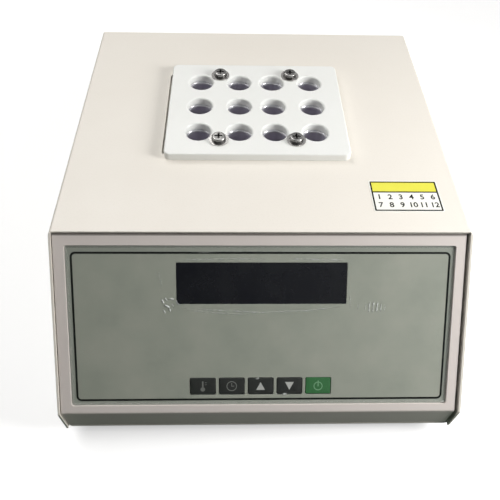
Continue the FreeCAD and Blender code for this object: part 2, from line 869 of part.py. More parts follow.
def make_keys():
    for name, x in zip(key_names, key_centres):
        cap = key_slab(x, 0, membrane_face + key_recess, backplate_back + key_lip_play)
        lip = key_slab(x, key_lip, backplate_back + key_lip_play, key_lip_end)
        stem = slope_rod(key_stem_radius, x, key_middle, key_lip_end, key_stem_end)
        parts[name] = on_slope(cap.fuse([lip, stem]).removeSplitter())
    switches = []
    for x in key_centres:
        half = switch_size / 2
        body_face = board_face - switch_body_height
        body = slope_slab(x - half, x + half, key_middle - half, key_middle + half, body_face, board_face)
        button_end = key_stem_end + key_travel + switch_gap
        button = slope_rod(switch_button_radius, x, key_middle, button_end, body_face)
        switches.append(on_slope(body.fuse(button)))
    parts["key_switches"] = group(switches)
    left = key_centres[0] - key_width / 2 - control_board_margin
    right = key_centres[-1] + key_width / 2 + control_board_margin
    top = key_top - control_board_above
    bottom = key_top + key_height + control_board_below
    inset = board_hole_inset
    places = [(x, down) for x in (left + inset, right - inset) for down in (top + inset, bottom - inset)]
    board = slope_slab(left, right, top, bottom, board_face, board_back)
    parts["control_board"] = on_slope(cut_all(board, board_holes(places)))
    board_spacers.extend([spacer_on_slope(x, down) for x, down in places])
    m3_screws.extend([screw_on_slope(x, down) for x, down in places])
    chip = slope_slab(-chip_width / 2, chip_width / 2, key_middle - chip_height / 2,
                      key_middle + chip_height / 2, board_back, board_back + chip_thickness)
    header = slope_slab(header_x - header_width / 2, header_x + header_width / 2,
                        key_middle - header_height / 2, key_middle + header_height / 2,
                        board_back, board_back + header_thickness)
    parts["controller_chip"] = on_slope(chip)
    parts["cable_header"] = on_slope(header)
    buzzer = slope_rod(buzzer_radius, buzzer_x, key_middle, board_back, board_back + buzzer_height)
    parts["buzzer"] = on_slope(buzzer)


# Heater
def block_slab(low, high):
    """The outline that the block and its heater plate share."""
    outline = rectangle(block_x - block_width / 2, block_x + block_width / 2, block_y - block_depth / 2,
                        block_y + block_depth / 2, block_edge)
    return prism(outline, low, high, "z")


def make_heating_block():
    """The block of wells, bored right through: the heater plate beneath it closes them."""
    block = block_slab(block_low, top_z)
    tools = [rod(well_radius, block_height + 2 * overrun, V(x, y, block_low - overrun), Z_AXIS)
             for x, y in well_places]
    for x, y in plate_screw_places:
        tools.append(rod(plate_screw_radius + thread_play, plate_screw_bite + overrun,
                         V(x, y, top_z - plate_screw_bite), Z_AXIS))
    for x, y in pillar_places:
        tools.append(rod(m4_radius + thread_play, pillar_screw_bite + overrun, V(x, y, block_low - overrun),
                         Z_AXIS))
    return cut_all(block, tools)


def make_heater_plate():
    """The plate clamped beneath the block, with the heaters' and the probe's bores across it."""
    plate = block_slab(block_base, block_low)
    tools = []
    for row in rows:
        tools.append(rod(heater_radius + heater_play, heater_length - heater_reach + overrun,
                         V(heater_end_x - heater_length + heater_reach, block_y + row, heater_z), X_AXIS))
    tools.append(rod(probe_radius + heater_play, probe_length - probe_reach + overrun,
                     V(block_x - block_width / 2 - overrun, probe_y, heater_z), X_AXIS))
    for side in (-1, 1):
        tools.append(rod(stud_radius + thread_play, cutout_screw_bite + overrun,
                         V(block_x + side * cutout_screw_spread, cutout_y - cutout_screw_bite, heater_z),
                         Y_AXIS))
    for x, y in pillar_places:
        tools.append(rod(m4_radius + hole_play, heater_plate_height + 2 * overrun,
                         V(x, y, block_base - overrun), Z_AXIS))
    return cut_all(plate, tools)


def make_hole_plate():
    outline = rectangle(block_x - plate_width / 2, block_x + plate_width / 2, block_y - plate_depth / 2,
                        block_y + plate_depth / 2, plate_corner)
    plate = prism(outline, top_z, plate_top, "z")
    rim = [edge for edge in plate.Edges if edge.BoundBox.ZMin > top_z + plate_edge]
    plate = plate.makeFillet(plate_edge, rim)
    tools = [rod(well_radius, plate_thickness + 2 * overrun, V(x, y, top_z - overrun), Z_AXIS)
             for x, y in well_places]
    tools += [rod(plate_screw_radius + hole_play, plate_thickness + 2 * overrun, V(x, y, top_z - overrun),
                  Z_AXIS) for x, y in plate_screw_places]
    return cut_all(plate, tools)


def make_plate_fasteners():
    screws = []
    springs = []
    flats = []
    spring_z = plate_top + flat_washer_thickness
    head_z = spring_z + spring_washer_thickness
    for x, y in plate_screw_places:
        head = rod(plate_screw_head_radius, plate_screw_head_height, V(0, 0, 0), Z_AXIS)
        rim = [edge for edge in head.Edges if edge.BoundBox.ZMin > plate_screw_head_height / 2]
        head = head.makeFillet(plate_screw_dome, rim)
        head = head.cut(cross_recess(recess_width, recess_length, recess_depth, plate_screw_head_height))
        length = head_z - top_z + plate_screw_bite - thread_play
        screw = head.fuse(rod(plate_screw_radius, length, V(0, 0, -length), Z_AXIS))
        screw.translate(V(x, y, head_z))
        screws.append(screw)
        ring = tube(spring_washer_radius, spring_washer_bore, spring_washer_thickness, V(0, 0, 0), Z_AXIS)
        split = box(0, spring_washer_radius + overrun, -spring_washer_split / 2, spring_washer_split / 2,
                    -overrun, spring_washer_thickness + overrun)
        split.rotate(V(0, 0, spring_washer_thickness / 2), X_AXIS, spring_washer_split_angle)
        ring = ring.cut(split)
        ring.translate(V(x, y, spring_z))
        springs.append(ring)
        flats.append(tube(flat_washer_radius, plate_screw_radius + hole_play, flat_washer_thickness,
                          V(x, y, plate_top), Z_AXIS))
    parts["plate_screws"] = group(screws)
    parts["spring_washers"] = group(springs)
    parts["flat_washers"] = group(flats)


def side_slots():
    """The windows in the insulation and shield for the heaters, the probe and the cut-out switch."""
    far = shield_half_x + overrun
    near = block_width / 2
    slot_y = row_pitch + heater_slot_margin
    slot_z = heater_slot_margin
    slots = [box(block_x + near, block_x + far, block_y - slot_y, block_y + slot_y, heater_z - slot_z,
                 heater_z + slot_z)]
    reach = probe_slot_margin
    slots.append(box(block_x - far, block_x - near, probe_y - reach, probe_y + reach, heater_z - reach,
                     heater_z + reach))
    reach = cutout_switch_ear / 2 + cutout_slot_margin
    tall = cutout_switch_radius + cutout_slot_margin / 2
    slots.append(box(block_x - reach, block_x + reach, cutout_y, block_y + shield_half_y + overrun,
                     heater_z - tall, heater_z + tall))
    return slots


def ring_prism(inner_x, inner_y, thickness, low, high):
    outer = box(block_x - inner_x - thickness, block_x + inner_x + thickness, block_y - inner_y - thickness,
                block_y + inner_y + thickness, low, high)
    inner = box(block_x - inner_x, block_x + inner_x, block_y - inner_y, block_y + inner_y, low, high)
    return outer.cut(inner)


def make_heater():
    parts["heating_block"] = make_heating_block()
    parts["heater_plate"] = make_heater_plate()
    parts["hole_plate"] = make_hole_plate()
    make_plate_fasteners()
    start = heater_end_x + heater_reach - heater_length + heater_play
    parts["cartridge_heaters"] = group([rod(heater_radius, heater_length - heater_play,
                                            V(start, block_y + row, heater_z), X_AXIS) for row in rows])
    probe_start = block_x - block_width / 2 - probe_reach
    probe = rod(probe_radius, probe_length - heater_play, V(probe_start, probe_y, heater_z), X_AXIS)
    collar = rod(probe_collar_radius, probe_collar_length,
                 V(block_x - block_width / 2 - probe_collar_length, probe_y, heater_z), X_AXIS)
    parts["temperature_probe"] = probe.fuse(collar)
    ear = box(block_x - cutout_switch_ear / 2, block_x + cutout_switch_ear / 2, cutout_y,
              cutout_y + cutout_switch_ear_thickness, heater_z - cutout_switch_ear_height / 2,
              heater_z + cutout_switch_ear_height / 2)
    switch = ear.fuse(rod(cutout_switch_radius, cutout_switch_length, V(block_x, cutout_y, heater_z), Y_AXIS))
    for side in (-1, 1):
        x = block_x + side * cutout_switch_radius / 2
        switch = switch.fuse(box(x - cutout_tab_thickness / 2, x + cutout_tab_thickness / 2,
                                 cutout_y + cutout_switch_length,
                                 cutout_y + cutout_switch_length + cutout_tab_length,
                                 heater_z - cutout_tab_width / 2, heater_z + cutout_tab_width / 2))
    screw_xs = [block_x + side * cutout_screw_spread for side in (-1, 1)]
    holes = [rod(stud_radius + hole_play, cutout_switch_length, V(x, cutout_y, heater_z), Y_AXIS)
             for x in screw_xs]
    parts["overheat_cutout"] = cut_all(switch, holes)
    seat_y = cutout_y + cutout_switch_ear_thickness
    m3_screws.extend([m3_screw(V(x, seat_y, heater_z), Y_AXIS) for x in screw_xs])
    inner_x = block_width / 2 + jacket_play
    inner_y = block_depth / 2 + jacket_play
    jacket = ring_prism(inner_x, inner_y, jacket_thickness, block_base, top_z - sheet - jacket_top_gap)
    parts["insulation_jacket"] = cut_all(jacket, side_slots())
    base = box(block_x - inner_x - jacket_thickness, block_x + inner_x + jacket_thickness,
               block_y - inner_y - jacket_thickness, block_y + inner_y + jacket_thickness,
               tray_top, block_base)
    tall = block_base - tray_top
    holes = [rod(pillar_radius + pillar_play, tall, V(x, y, tray_top), Z_AXIS) for x, y in pillar_places]
    parts["insulation_base"] = cut_all(base, holes)
    make_shield()
    parts["block_pillars"] = group([tube(pillar_radius, pillar_bore, tall, V(x, y, tray_top), Z_AXIS)
                                    for x, y in pillar_places])
    length = sheet + tall + heater_plate_height + pillar_screw_bite - pillar_screw_gap
    parts["pillar_screws"] = group([pan_screw(m4_radius, length, m4_head_radius, m4_head_height,
                                              V(x, y, foot_height), -Z_AXIS) for x, y in pillar_places])


def make_shield():
    inner_x = shield_half_x - shield_sheet
    inner_y = shield_half_y - shield_sheet
    wall = ring_prism(inner_x, inner_y, shield_sheet, tray_top, top_z - sheet - shield_top_gap)
    for side in (-1, 1):
        near = block_x + side * inner_x
        far = block_x + side * (shield_half_x + shield_flange)
        wall = wall.fuse(box(min(near, far), max(near, far), block_y - shield_half_y, block_y + shield_half_y,
                             tray_top, tray_top + shield_sheet))
    holes = [rod(cover_screw_radius + hole_play, shield_sheet + 2 * overrun, V(x, y, tray_top - overrun),
                 Z_AXIS) for x, y in shield_screw_places]
    parts["heat_shield"] = cut_all(wall, side_slots() + holes)
    tray_screws.extend([m3_screw(V(x, y, foot_height), -Z_AXIS) for x, y in shield_screw_places])
    m3_nuts.extend([m3_nut(V(x, y, tray_top + shield_sheet), Z_AXIS) for x, y in shield_screw_places])


# Power entry on the rear wall
def pin_blade(x, z, play):
    tip = entry_face - pin_recess
    tail = rear_y - entry_body_depth - pin_tail
    return box(x - pin_width / 2 - play, x + pin_width / 2 + play, tail, tip, z - pin_tall / 2 - play,
               z + pin_tall / 2 + play)


def make_power_inlet():
    """One moulded housing: the mains socket below, the fuse drawer's slot and the switch's pocket above."""
    half = entry_width / 2
    outline = rectangle(entry_x - half, entry_x + half, entry_z - entry_tall / 2, entry_z + entry_tall / 2,
                        entry_corner)
    flange = prism(outline, rear_y, entry_face, "y")
    half = entry_body_width / 2
    body = box(entry_x - half, entry_x + half, rear_y - entry_body_depth, rear_y, entry_low,
               entry_low + entry_body_tall)
    housing = flange.fuse(body)
    half = socket_width / 2
    low = socket_z - socket_tall / 2
    high = socket_z + socket_tall / 2
    mouth = [(entry_x - half, low, 0), (entry_x + half, low, 0), (entry_x + half, high - socket_chamfer, 0),
             (entry_x + half - socket_chamfer, high, 0), (entry_x - half + socket_chamfer, high, 0),
             (entry_x - half, high - socket_chamfer, 0)]
    tools = [prism(mouth, entry_face - socket_depth, entry_face + overrun, "y")]
    tools += [pin_blade(x, z, pin_play) for x, z in pin_places]
    wide = drawer_width / 2 + drawer_play
    tall = drawer_tall / 2 + drawer_play
    tools.append(box(entry_x - wide, entry_x + wide, entry_face - drawer_depth - drawer_play,
                     entry_face + overrun, drawer_z - tall, drawer_z + tall))
    wide = rocker_radius + rocker_play
    tall = rocker_tall / 2 + rocker_play
    tools.append(box(entry_x - wide, entry_x + wide, entry_face - rocker_pocket_depth, entry_face + overrun,
                     rocker_z - tall, rocker_z + tall))
    reach = tall + trunnion_length
    tools.append(rod(trunnion_radius + trunnion_play, 2 * reach, V(entry_x, pivot_y, rocker_z - reach),
                     Z_AXIS))
    for side in (-1, 1):
        tools.append(rod(entry_screw_radius + hole_play, entry_flange + 2 * overrun,
                         V(entry_x + side * entry_screw_spread, rear_y - overrun, entry_z), Y_AXIS))
    return cut_all(housing, tools)


def make_rocker():
    """The switch's rocker as it rests at off: one half level with the flange, the other raised."""
    crest = pivot_y + rocker_crest
    below = pivot_y - rocker_below
    raised_x = entry_x - 2 * rocker_radius * math.cos(rocker_tilt)
    raised_y = crest + 2 * rocker_radius * math.sin(rocker_tilt)
    low = rocker_z - rocker_tall / 2
    wedge = prism([(entry_x - 2 * rocker_radius, below, 0), (entry_x + 2 * rocker_radius, below, 0),
                   (entry_x + 2 * rocker_radius, crest, 0), (entry_x, crest, 0), (raised_x, raised_y, 0)],
                  low, low + rocker_tall, "z")
    rocker = wedge.common(rod(rocker_radius, rocker_tall, V(entry_x, pivot_y, low), Z_AXIS))
    reach = rocker_tall / 2 + rocker_play + trunnion_length - trunnion_end_play
    return rocker.fuse(rod(trunnion_radius, 2 * reach, V(entry_x, pivot_y, rocker_z - reach), Z_AXIS))


def make_fuse_drawer():
    half_x = drawer_width / 2
    half_z = drawer_tall / 2
    body = box(entry_x - half_x, entry_x + half_x, entry_face - drawer_depth, entry_face, drawer_z - half_z,
               drawer_z + half_z)
    margin = drawer_play + drawer_face_margin
    face = box(entry_x - half_x - margin, entry_x + half_x + margin, entry_face, entry_face + drawer_face,
               drawer_z - half_z - margin, drawer_z + half_z + margin)
    notch = box(entry_x - drawer_notch_width / 2, entry_x + drawer_notch_width / 2,
                entry_face + drawer_face - drawer_notch_depth, entry_face + drawer_face + overrun,
                drawer_z - drawer_notch_tall / 2, drawer_z + drawer_notch_tall / 2)
    reach = fuse_length / 2 + fuse_play
    around = fuse_radius + fuse_play
    fuse_y = entry_face - fuse_depth
    nest = box(entry_x - reach, entry_x + reach, fuse_y - around, fuse_y + around, drawer_z - around,
               drawer_z + half_z + overrun)
    return body.fuse(face).cut(notch).cut(nest)


def make_fuse():
    start = entry_x - fuse_length / 2
    fuse_y = entry_face - fuse_depth
    glass = rod(fuse_radius - fuse_cap_step, fuse_length, V(start, fuse_y, drawer_z), X_AXIS)
    caps = [rod(fuse_radius, fuse_cap_length, V(x, fuse_y, drawer_z), X_AXIS)
            for x in (start, start + fuse_length - fuse_cap_length)]
    return glass.fuse(caps)


def make_power():
    parts["power_inlet"] = make_power_inlet()
    parts["inlet_pins"] = group([pin_blade(x, z, 0) for x, z in pin_places])
    parts["power_rocker"] = make_rocker()
    parts["fuse_drawer"] = make_fuse_drawer()
    parts["fuse"] = make_fuse()
    screw_xs = [entry_x + side * entry_screw_spread for side in (-1, 1)]
    parts["inlet_screws"] = group([pan_screw(entry_screw_radius, entry_screw_length, entry_screw_head_radius,
                                             entry_screw_head_height, V(x, entry_face, entry_z), Y_AXIS)
                                   for x in screw_xs])
    m3_nuts.extend([m3_nut(V(x, rear_y - sheet, entry_z), -Y_AXIS) for x in screw_xs])
    make_power_board()
    make_transformer()
    parts["earth_stud"] = pan_screw(m4_radius, earth_length, m4_head_radius, m4_head_height,
                                    V(earth_x, rear_y, earth_z), Y_AXIS)
    m4_nuts.append(m4_nut(V(earth_x, rear_y - sheet, earth_z), -Y_AXIS))


def make_power_board():
    top = power_board_top
    low = top - board_thickness
    board = box(power_board_left, power_board_right, power_board_front_y, power_board_back_y, low, top)
    parts["power_board"] = cut_all(board, [rod(stud_radius + hole_play, board_thickness, V(x, y, low), Z_AXIS)
                                           for x, y in power_board_places])
    for x, y in power_board_places:
        board_spacers.append(tube(spacer_radius, stud_radius + thread_play, board_depth, V(x, y, tray_top),
                                  Z_AXIS))
        m3_screws.append(m3_screw(V(x, y, top), Z_AXIS))
        tray_screws.append(m3_screw(V(x, y, foot_height), -Z_AXIS))
    middle = (power_board_left + power_board_right) / 2
    y = power_board_front_y + 2 * board_hole_inset + part_edge_gap
    parts["heater_relay"] = box(middle - relay_width / 2, middle + relay_width / 2, y, y + relay_length, top,
                                top + relay_height)
    y += relay_length + part_edge_gap
    base = box(middle - sink_width / 2, middle + sink_width / 2, y, y + sink_base, top, top + sink_height)
    fins = []
    for i in range(sink_fins):
        x = middle - sink_width / 2 + i * (sink_width - sink_fin) / (sink_fins - 1)
        fins.append(box(x, x + sink_fin, y + sink_base / 2, y + sink_length, top, top + sink_height))
    parts["triac_heatsink"] = base.fuse(fins).removeSplitter()
    y += sink_length + part_edge_gap + capacitor_radius
    parts["power_capacitor"] = rod(capacitor_radius, capacitor_height, V(middle, y, top), Z_AXIS)
    parts["terminal_block"] = box(terminal_x - terminal_length / 2, terminal_x + terminal_length / 2,
                                  terminal_y - terminal_width / 2, terminal_y + terminal_width / 2, top,
                                  top + terminal_height)


def make_transformer():
    """Laminated core welded to a strap with two lugs, and the coil round its middle leg."""
    half_x = transformer_width / 2
    half_y = transformer_length / 2
    low = tray_top + transformer_foot
    high = low + transformer_height
    stack = transformer_stack / 2
    core = box(transformer_x - stack, transformer_x + stack, transformer_y - half_y, transformer_y + half_y,
               low, high)
    leg = transformer_leg
    for side in (-1, 1):
        near = transformer_y + side * leg
        far = transformer_y + side * (half_y - leg)
        core = core.cut(box(transformer_x - stack - overrun, transformer_x + stack + overrun, min(near, far),
                            max(near, far), low + leg, high - leg))
    gap = transformer_clearance
    coil = box(transformer_x - half_x, transformer_x + half_x, transformer_y - half_y + leg + gap,
               transformer_y + half_y - leg - gap, low + leg + gap, high - leg - gap)
    parts["transformer_coil"] = coil.cut(box(transformer_x - stack - gap, transformer_x + stack + gap,
                                             transformer_y - leg - gap, transformer_y + leg + gap, low, high))
    reach = half_y + transformer_lug
    strap = box(transformer_x - stack, transformer_x + stack, transformer_y - reach, transformer_y + reach,
                tray_top, low)
    holes = [rod(m4_radius + hole_play, transformer_foot, V(x, y, tray_top), Z_AXIS)
             for x, y in transformer_screw_places]
    parts["transformer_core"] = core.fuse(cut_all(strap, holes)).removeSplitter()
    length = sheet + transformer_foot + m4_nut_height + transformer_foot
    parts["transformer_screws"] = group([pan_screw(m4_radius, length, m4_head_radius, m4_head_height,
                                                   V(x, y, foot_height), -Z_AXIS)
                                         for x, y in transformer_screw_places])
    m4_nuts.extend([m4_nut(V(x, y, low), Z_AXIS) for x, y in transformer_screw_places])


# Wires inside the case
def make_wiring():
    """Heater pairs to the board, mains from the inlet, and the cut-out's, probe's and keys' leads."""
    wires = []
    heater_tip_x = heater_end_x + heater_reach
    landing_x = power_board_left + lead_landing_inset
    for row in rows:
        for side in (-1, 1):
            y = block_y + row + side * heater_lead_spread
            wires.append(lead([(heater_tip_x, y, heater_z), (landing_x, y, heater_z),
                               (landing_x, y, power_board_top)], lead_radius))
    tail_y = rear_y - entry_body_depth - pin_tail
    terminal_top = power_board_top + terminal_height
    for (x, z), side in zip(pin_places, (-1, 1)):
        end_x = terminal_x + side * terminal_length / 4
        wires.append(lead([(x, tail_y, z), (x, tail_y - mains_run, z),
                           (end_x, terminal_y, terminal_top + mains_rise), (end_x, terminal_y, terminal_top)],
                          lead_radius))
    x, z = pin_places[2]
    wires.append(lead([(x, tail_y, z), (x, tail_y - earth_run, z), (earth_x, tail_y - earth_run, earth_z),
                       (earth_x, rear_y - earth_length, earth_z)], lead_radius))
    tab_y = cutout_y + cutout_switch_length + cutout_tab_length
    for side in (-1, 1):
        x = block_x + side * cutout_switch_radius / 2
        run_y = tab_y + cutout_run - side * cutout_lead_step
        end_x = power_board_right - lead_landing_inset - (1 + side) * cutout_lead_step
        wires.append(lead([(x, tab_y, heater_z), (x, run_y, heater_z), (end_x, run_y, cutout_lead_z),
                           (end_x, cutout_landing_y, cutout_lead_z),
                           (end_x, cutout_landing_y, power_board_top)], lead_radius))
    wires.append(probe_lead())
    wires.append(keys_cable())
    parts["wiring_harness"] = group(wires)


def probe_lead():
    """From the probe's outer end round the front of the shield to the back of the control board."""
    probe_end_x = block_x - block_width / 2 - probe_reach
    passage_x = probe_end_x - probe_lead_passage
    land_y, land_z = slope_point(key_middle, board_back)
    near_y, near_z = slope_point(key_middle, board_back + probe_lead_rise)
    front_y_of_shield = block_y - shield_half_y
    return lead([(probe_end_x, probe_y, heater_z), (passage_x, probe_y, heater_z),
                 (passage_x, front_y_of_shield, heater_z),
                 (probe_landing_x, near_y + probe_lead_rise, near_z), (probe_landing_x, near_y, near_z),
                 (probe_landing_x, land_y, land_z)], probe_lead_radius)


def keys_cable():
    """From the header on the control board along the floor to the front of the power board."""
    land_y, land_z = slope_point(key_middle, board_back + header_thickness)
    near_y, near_z = slope_point(key_middle, board_back + header_thickness + cable_rise)
    end_x = (power_board_left + power_board_right) / 2
    end_y = power_board_front_y + board_hole_inset
    return lead([(header_x, land_y, land_z), (header_x, near_y, near_z),
                 (header_x + cable_run, near_y + cable_run, near_z),
                 (end_x - cable_run, end_y - cable_run, power_board_top + cable_rise),
                 (end_x, end_y, power_board_top + 2 * cable_rise), (end_x, end_y, power_board_top)],
                cable_radius)


def make_shared_fasteners():
    parts["tray_screws"] = group(tray_screws)
    parts["m3_screws"] = group(m3_screws)
    parts["board_spacers"] = group(board_spacers)
    parts["m3_nuts"] = group(m3_nuts)
    parts["m4_nuts"] = group(m4_nuts)


make_case()
make_console()
make_heater()
make_power()
make_wiring()
make_shared_fasteners()
os.makedirs("parts", exist_ok=True)
for name, shape in parts.items():
    shape.exportStep(f"parts/{name}.step")
    print(name, len(shape.Solids), "valid" if shape.isValid() else "NOT VALID", round(shape.Volume, 1))
print(len(parts), "nodes")
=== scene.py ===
# %% [markdown]
# # A bench digester, dressed for its portrait
# The instrument is a sloping-front case of painted sheet metal with a heated block of twelve wells under a white
# plate. Its solids come packed from the CAD model, in metres and in one fixed frame, so nothing here is moved into
# place by eye. Good shapes stay and get a finish; a few pieces that the eye dwells on are modelled again, finer.

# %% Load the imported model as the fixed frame
import json
import math
import bmesh
import bpy
from mathutils import Matrix, Vector, noise
from mathutils.bvhtree import BVHTree


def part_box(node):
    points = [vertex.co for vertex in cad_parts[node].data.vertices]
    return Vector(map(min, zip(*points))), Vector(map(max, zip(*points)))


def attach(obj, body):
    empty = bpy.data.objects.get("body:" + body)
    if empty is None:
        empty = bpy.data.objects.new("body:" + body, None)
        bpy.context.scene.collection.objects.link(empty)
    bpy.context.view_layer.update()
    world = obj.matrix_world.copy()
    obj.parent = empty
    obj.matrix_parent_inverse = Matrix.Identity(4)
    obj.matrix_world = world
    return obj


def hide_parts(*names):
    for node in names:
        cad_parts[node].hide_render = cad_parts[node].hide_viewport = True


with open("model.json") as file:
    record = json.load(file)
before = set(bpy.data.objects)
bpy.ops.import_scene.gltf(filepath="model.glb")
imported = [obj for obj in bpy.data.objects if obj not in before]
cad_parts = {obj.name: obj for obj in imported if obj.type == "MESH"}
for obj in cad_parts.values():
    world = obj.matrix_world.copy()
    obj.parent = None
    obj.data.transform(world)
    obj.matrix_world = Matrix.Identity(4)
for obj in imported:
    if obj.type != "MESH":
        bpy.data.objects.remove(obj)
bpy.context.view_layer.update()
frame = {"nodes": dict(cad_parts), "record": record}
MM = 0.001

# %% [markdown]
# ## The console's own frame
# The front panel slopes, so flat pieces on it are easiest to draw flat and then lean back together. One matrix
# does that: its x runs across, its y up the slope from the top front edge, its z straight out of the panel. The
# pieces keep this matrix, and their materials can then read flat coordinates too.

# %% Lean of the front panel
SLOPE_RUN = 74.4 * MM
SLOPE_DROP = 79.8 * MM
case_low, case_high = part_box("cover")
slope_angle = math.atan2(SLOPE_DROP, SLOPE_RUN)
slope_length = math.hypot(SLOPE_RUN, SLOPE_DROP)
SLOPE = Matrix.Translation((0, case_low.y + SLOPE_RUN, case_high.z)) @ Matrix.Rotation(slope_angle, 4, "X")
UNSLOPE = SLOPE.inverted()
half_width = case_high.x
print("slope:", round(math.degrees(slope_angle), 2), "degrees,", round(slope_length / MM, 1), "mm long")


def slope_box(node):
    """Lowest and highest corner of a CAD node, measured in the console's own frame."""
    points = [UNSLOPE @ vertex.co for vertex in frame["nodes"][node].data.vertices]
    low = Vector([min(point[axis] for point in points) for axis in range(3)])
    high = Vector([max(point[axis] for point in points) for axis in range(3)])
    return low, high


# %% [markdown]
# ## Camera
# The photograph was taken by hand, from above and in front, a little to the left and with the camera slightly
# rolled. Its place and turn were worked out from the case's corners, so they are given here as plain numbers:
# position, then the angles that build the view's three directions.

# %% Camera at the photograph's angle
CAMERA_PLACE = Vector((-15.931, -260.278, 343.488)) * MM
PITCH, YAW, ROLL = (math.radians(angle) for angle in (52.257, 2.691, 2.184))
forward = Vector((math.sin(YAW) * math.cos(PITCH), math.cos(YAW) * math.cos(PITCH), -math.sin(PITCH)))
level = Vector((math.cos(YAW), -math.sin(YAW), 0))
upright = level.cross(forward)
across = level * math.cos(ROLL) + upright * math.sin(ROLL)
upward = upright * math.cos(ROLL) - level * math.sin(ROLL)
camera_data = bpy.data.cameras.new("portrait_camera")
camera_data.sensor_width = 36
camera_data.lens = 38.63
camera = bpy.data.objects.new("portrait_camera", camera_data)
camera.matrix_world = Matrix.Translation(CAMERA_PLACE) @ Matrix((across, upward, -forward)).transposed().to_4x4()
bpy.context.collection.objects.link(camera)
bpy.context.scene.camera = camera
print("camera lens:", camera_data.lens, "mm")

# %% [markdown]
# ## Node helpers
# Every finish below is made of nodes, so a few short helpers save a lot of typing: one adds a node and sets its
# values, three stand for the nodes that come back most, one makes a group with named inputs and outputs, and one
# drops a group into a material.


# %% Short ways to add nodes, groups and materials
def add_node(tree, kind, settings=(), **inputs):
    """Adds a node, sets its properties, then sets or links its inputs by name or by number (i0, i1 ...)."""
    node = tree.nodes.new(kind)
    for key, value in dict(settings).items():
        setattr(node, key, value)
    for key, value in inputs.items():
        socket = node.inputs[int(key[1:])] if key[0] == "i" and key[1:].isdigit() else node.inputs[key]
        if isinstance(value, bpy.types.NodeSocket):
            tree.links.new(value, socket)
        else:
            socket.default_value = value
    return node


def remap(tree, value, start, end, low=0.0, high=1.0):
    """Turns a value that runs from start to end into one that runs from low to high and stays between them."""
    return add_node(tree, "ShaderNodeMapRange", i0=value, i1=start, i2=end, i3=low, i4=high).outputs[0]


def combine(tree, operation, first, second):
    """Two values put together, by MULTIPLY, ADD or MAXIMUM."""
    return add_node(tree, "ShaderNodeMath", {"operation": operation}, i0=first, i1=second).outputs[0]


def mix_colours(tree, share, first, second):
    """The first colour where the share is 0, the second where it is 1."""
    return add_node(tree, "ShaderNodeMix", {"data_type": "RGBA"}, i0=share, i6=first, i7=second).outputs[2]


def new_group(name, inputs, outputs):
    """A shader node group with these sockets: name -> (socket type, default) and name -> socket type."""
    group = bpy.data.node_groups.new(name, "ShaderNodeTree")
    for label, (kind, default) in inputs.items():
        socket = group.interface.new_socket(label, in_out="INPUT", socket_type="NodeSocket" + kind)
        if default is not None:
            socket.default_value = default
    for label, kind in outputs.items():
        group.interface.new_socket(label, in_out="OUTPUT", socket_type="NodeSocket" + kind)
    return group, group.nodes.new("NodeGroupInput"), group.nodes.new("NodeGroupOutput")


def place_group(tree, group, **inputs):
    return add_node(tree, "ShaderNodeGroup", {"node_tree": group}, **inputs)


def new_material(name):
    """A material with an empty tree, its Principled shader and its object coordinates."""
    material = bpy.data.materials.new(name)
    material.use_nodes = True
    tree = material.node_tree
    shader = tree.nodes["Principled BSDF"]
    coordinates = tree.nodes.new("ShaderNodeTexCoord").outputs["Object"]
    return material, tree, shader, coordinates


def tone(red, green, blue):
    """A colour written as it looks on screen, 0 to 255, turned into the linear values that shaders use."""
    def linear(value):
        share = value / 255
        return share / 12.92 if share <= 0.04045 else ((share + 0.055) / 1.055) ** 2.4
    return (linear(red), linear(green), linear(blue), 1.0)


print("node helpers ready")

# %% [markdown]
# ## Shared effects
# No real surface has one flat colour. Five effects come back on almost every piece, so each is a group that is
# built once: slow mottling of the colour, the orange-peel of powder coat and moulded plastic, the fine lines of
# drawn or milled metal, bright wear along edges, and dust that settles on what faces up.


# %% Effect: slow mottling of a colour
def make_mottling():
    group, enter, leave = new_group(
        "mottling",
        {"Vector": ("Vector", None), "Colour": ("Color", (0.8, 0.8, 0.8, 1)), "Shade": ("Color", (0.7, 0.7, 0.7, 1)),
         "Scale": ("Float", 40.0), "Amount": ("Float", 0.5)},
        {"Colour": "Color", "Mask": "Float"})
    broad = add_node(group, "ShaderNodeTexNoise", Vector=enter.outputs["Vector"], Scale=enter.outputs["Scale"],
                     Detail=5.0, Roughness=0.62)
    mask = remap(group, broad.outputs["Fac"], 0.32, 0.7)
    amount = combine(group, "MULTIPLY", mask, enter.outputs["Amount"])
    mixed = mix_colours(group, amount, enter.outputs["Colour"], enter.outputs["Shade"])
    group.links.new(mixed, leave.inputs["Colour"])
    group.links.new(mask, leave.inputs["Mask"])
    return group


MOTTLING = make_mottling()
print("group:", MOTTLING.name)


# %% Effect: the fine skin of powder coat or moulded plastic
def make_skin():
    group, enter, leave = new_group(
        "fine_skin", {"Vector": ("Vector", None), "Scale": ("Float", 900.0), "Grit": ("Float", 0.4)},
        {"Height": "Float"})
    peel = add_node(group, "ShaderNodeTexNoise", Vector=enter.outputs["Vector"], Scale=enter.outputs["Scale"],
                    Detail=2.0, Roughness=0.5)
    finer = combine(group, "MULTIPLY", enter.outputs["Scale"], 3.1)
    grit = add_node(group, "ShaderNodeTexVoronoi", {"feature": "SMOOTH_F1"}, Vector=enter.outputs["Vector"],
                    Scale=finer)
    part = combine(group, "MULTIPLY", grit.outputs["Distance"], enter.outputs["Grit"])
    group.links.new(combine(group, "ADD", peel.outputs["Fac"], part), leave.inputs["Height"])
    return group


SKIN = make_skin()
print("group:", SKIN.name)


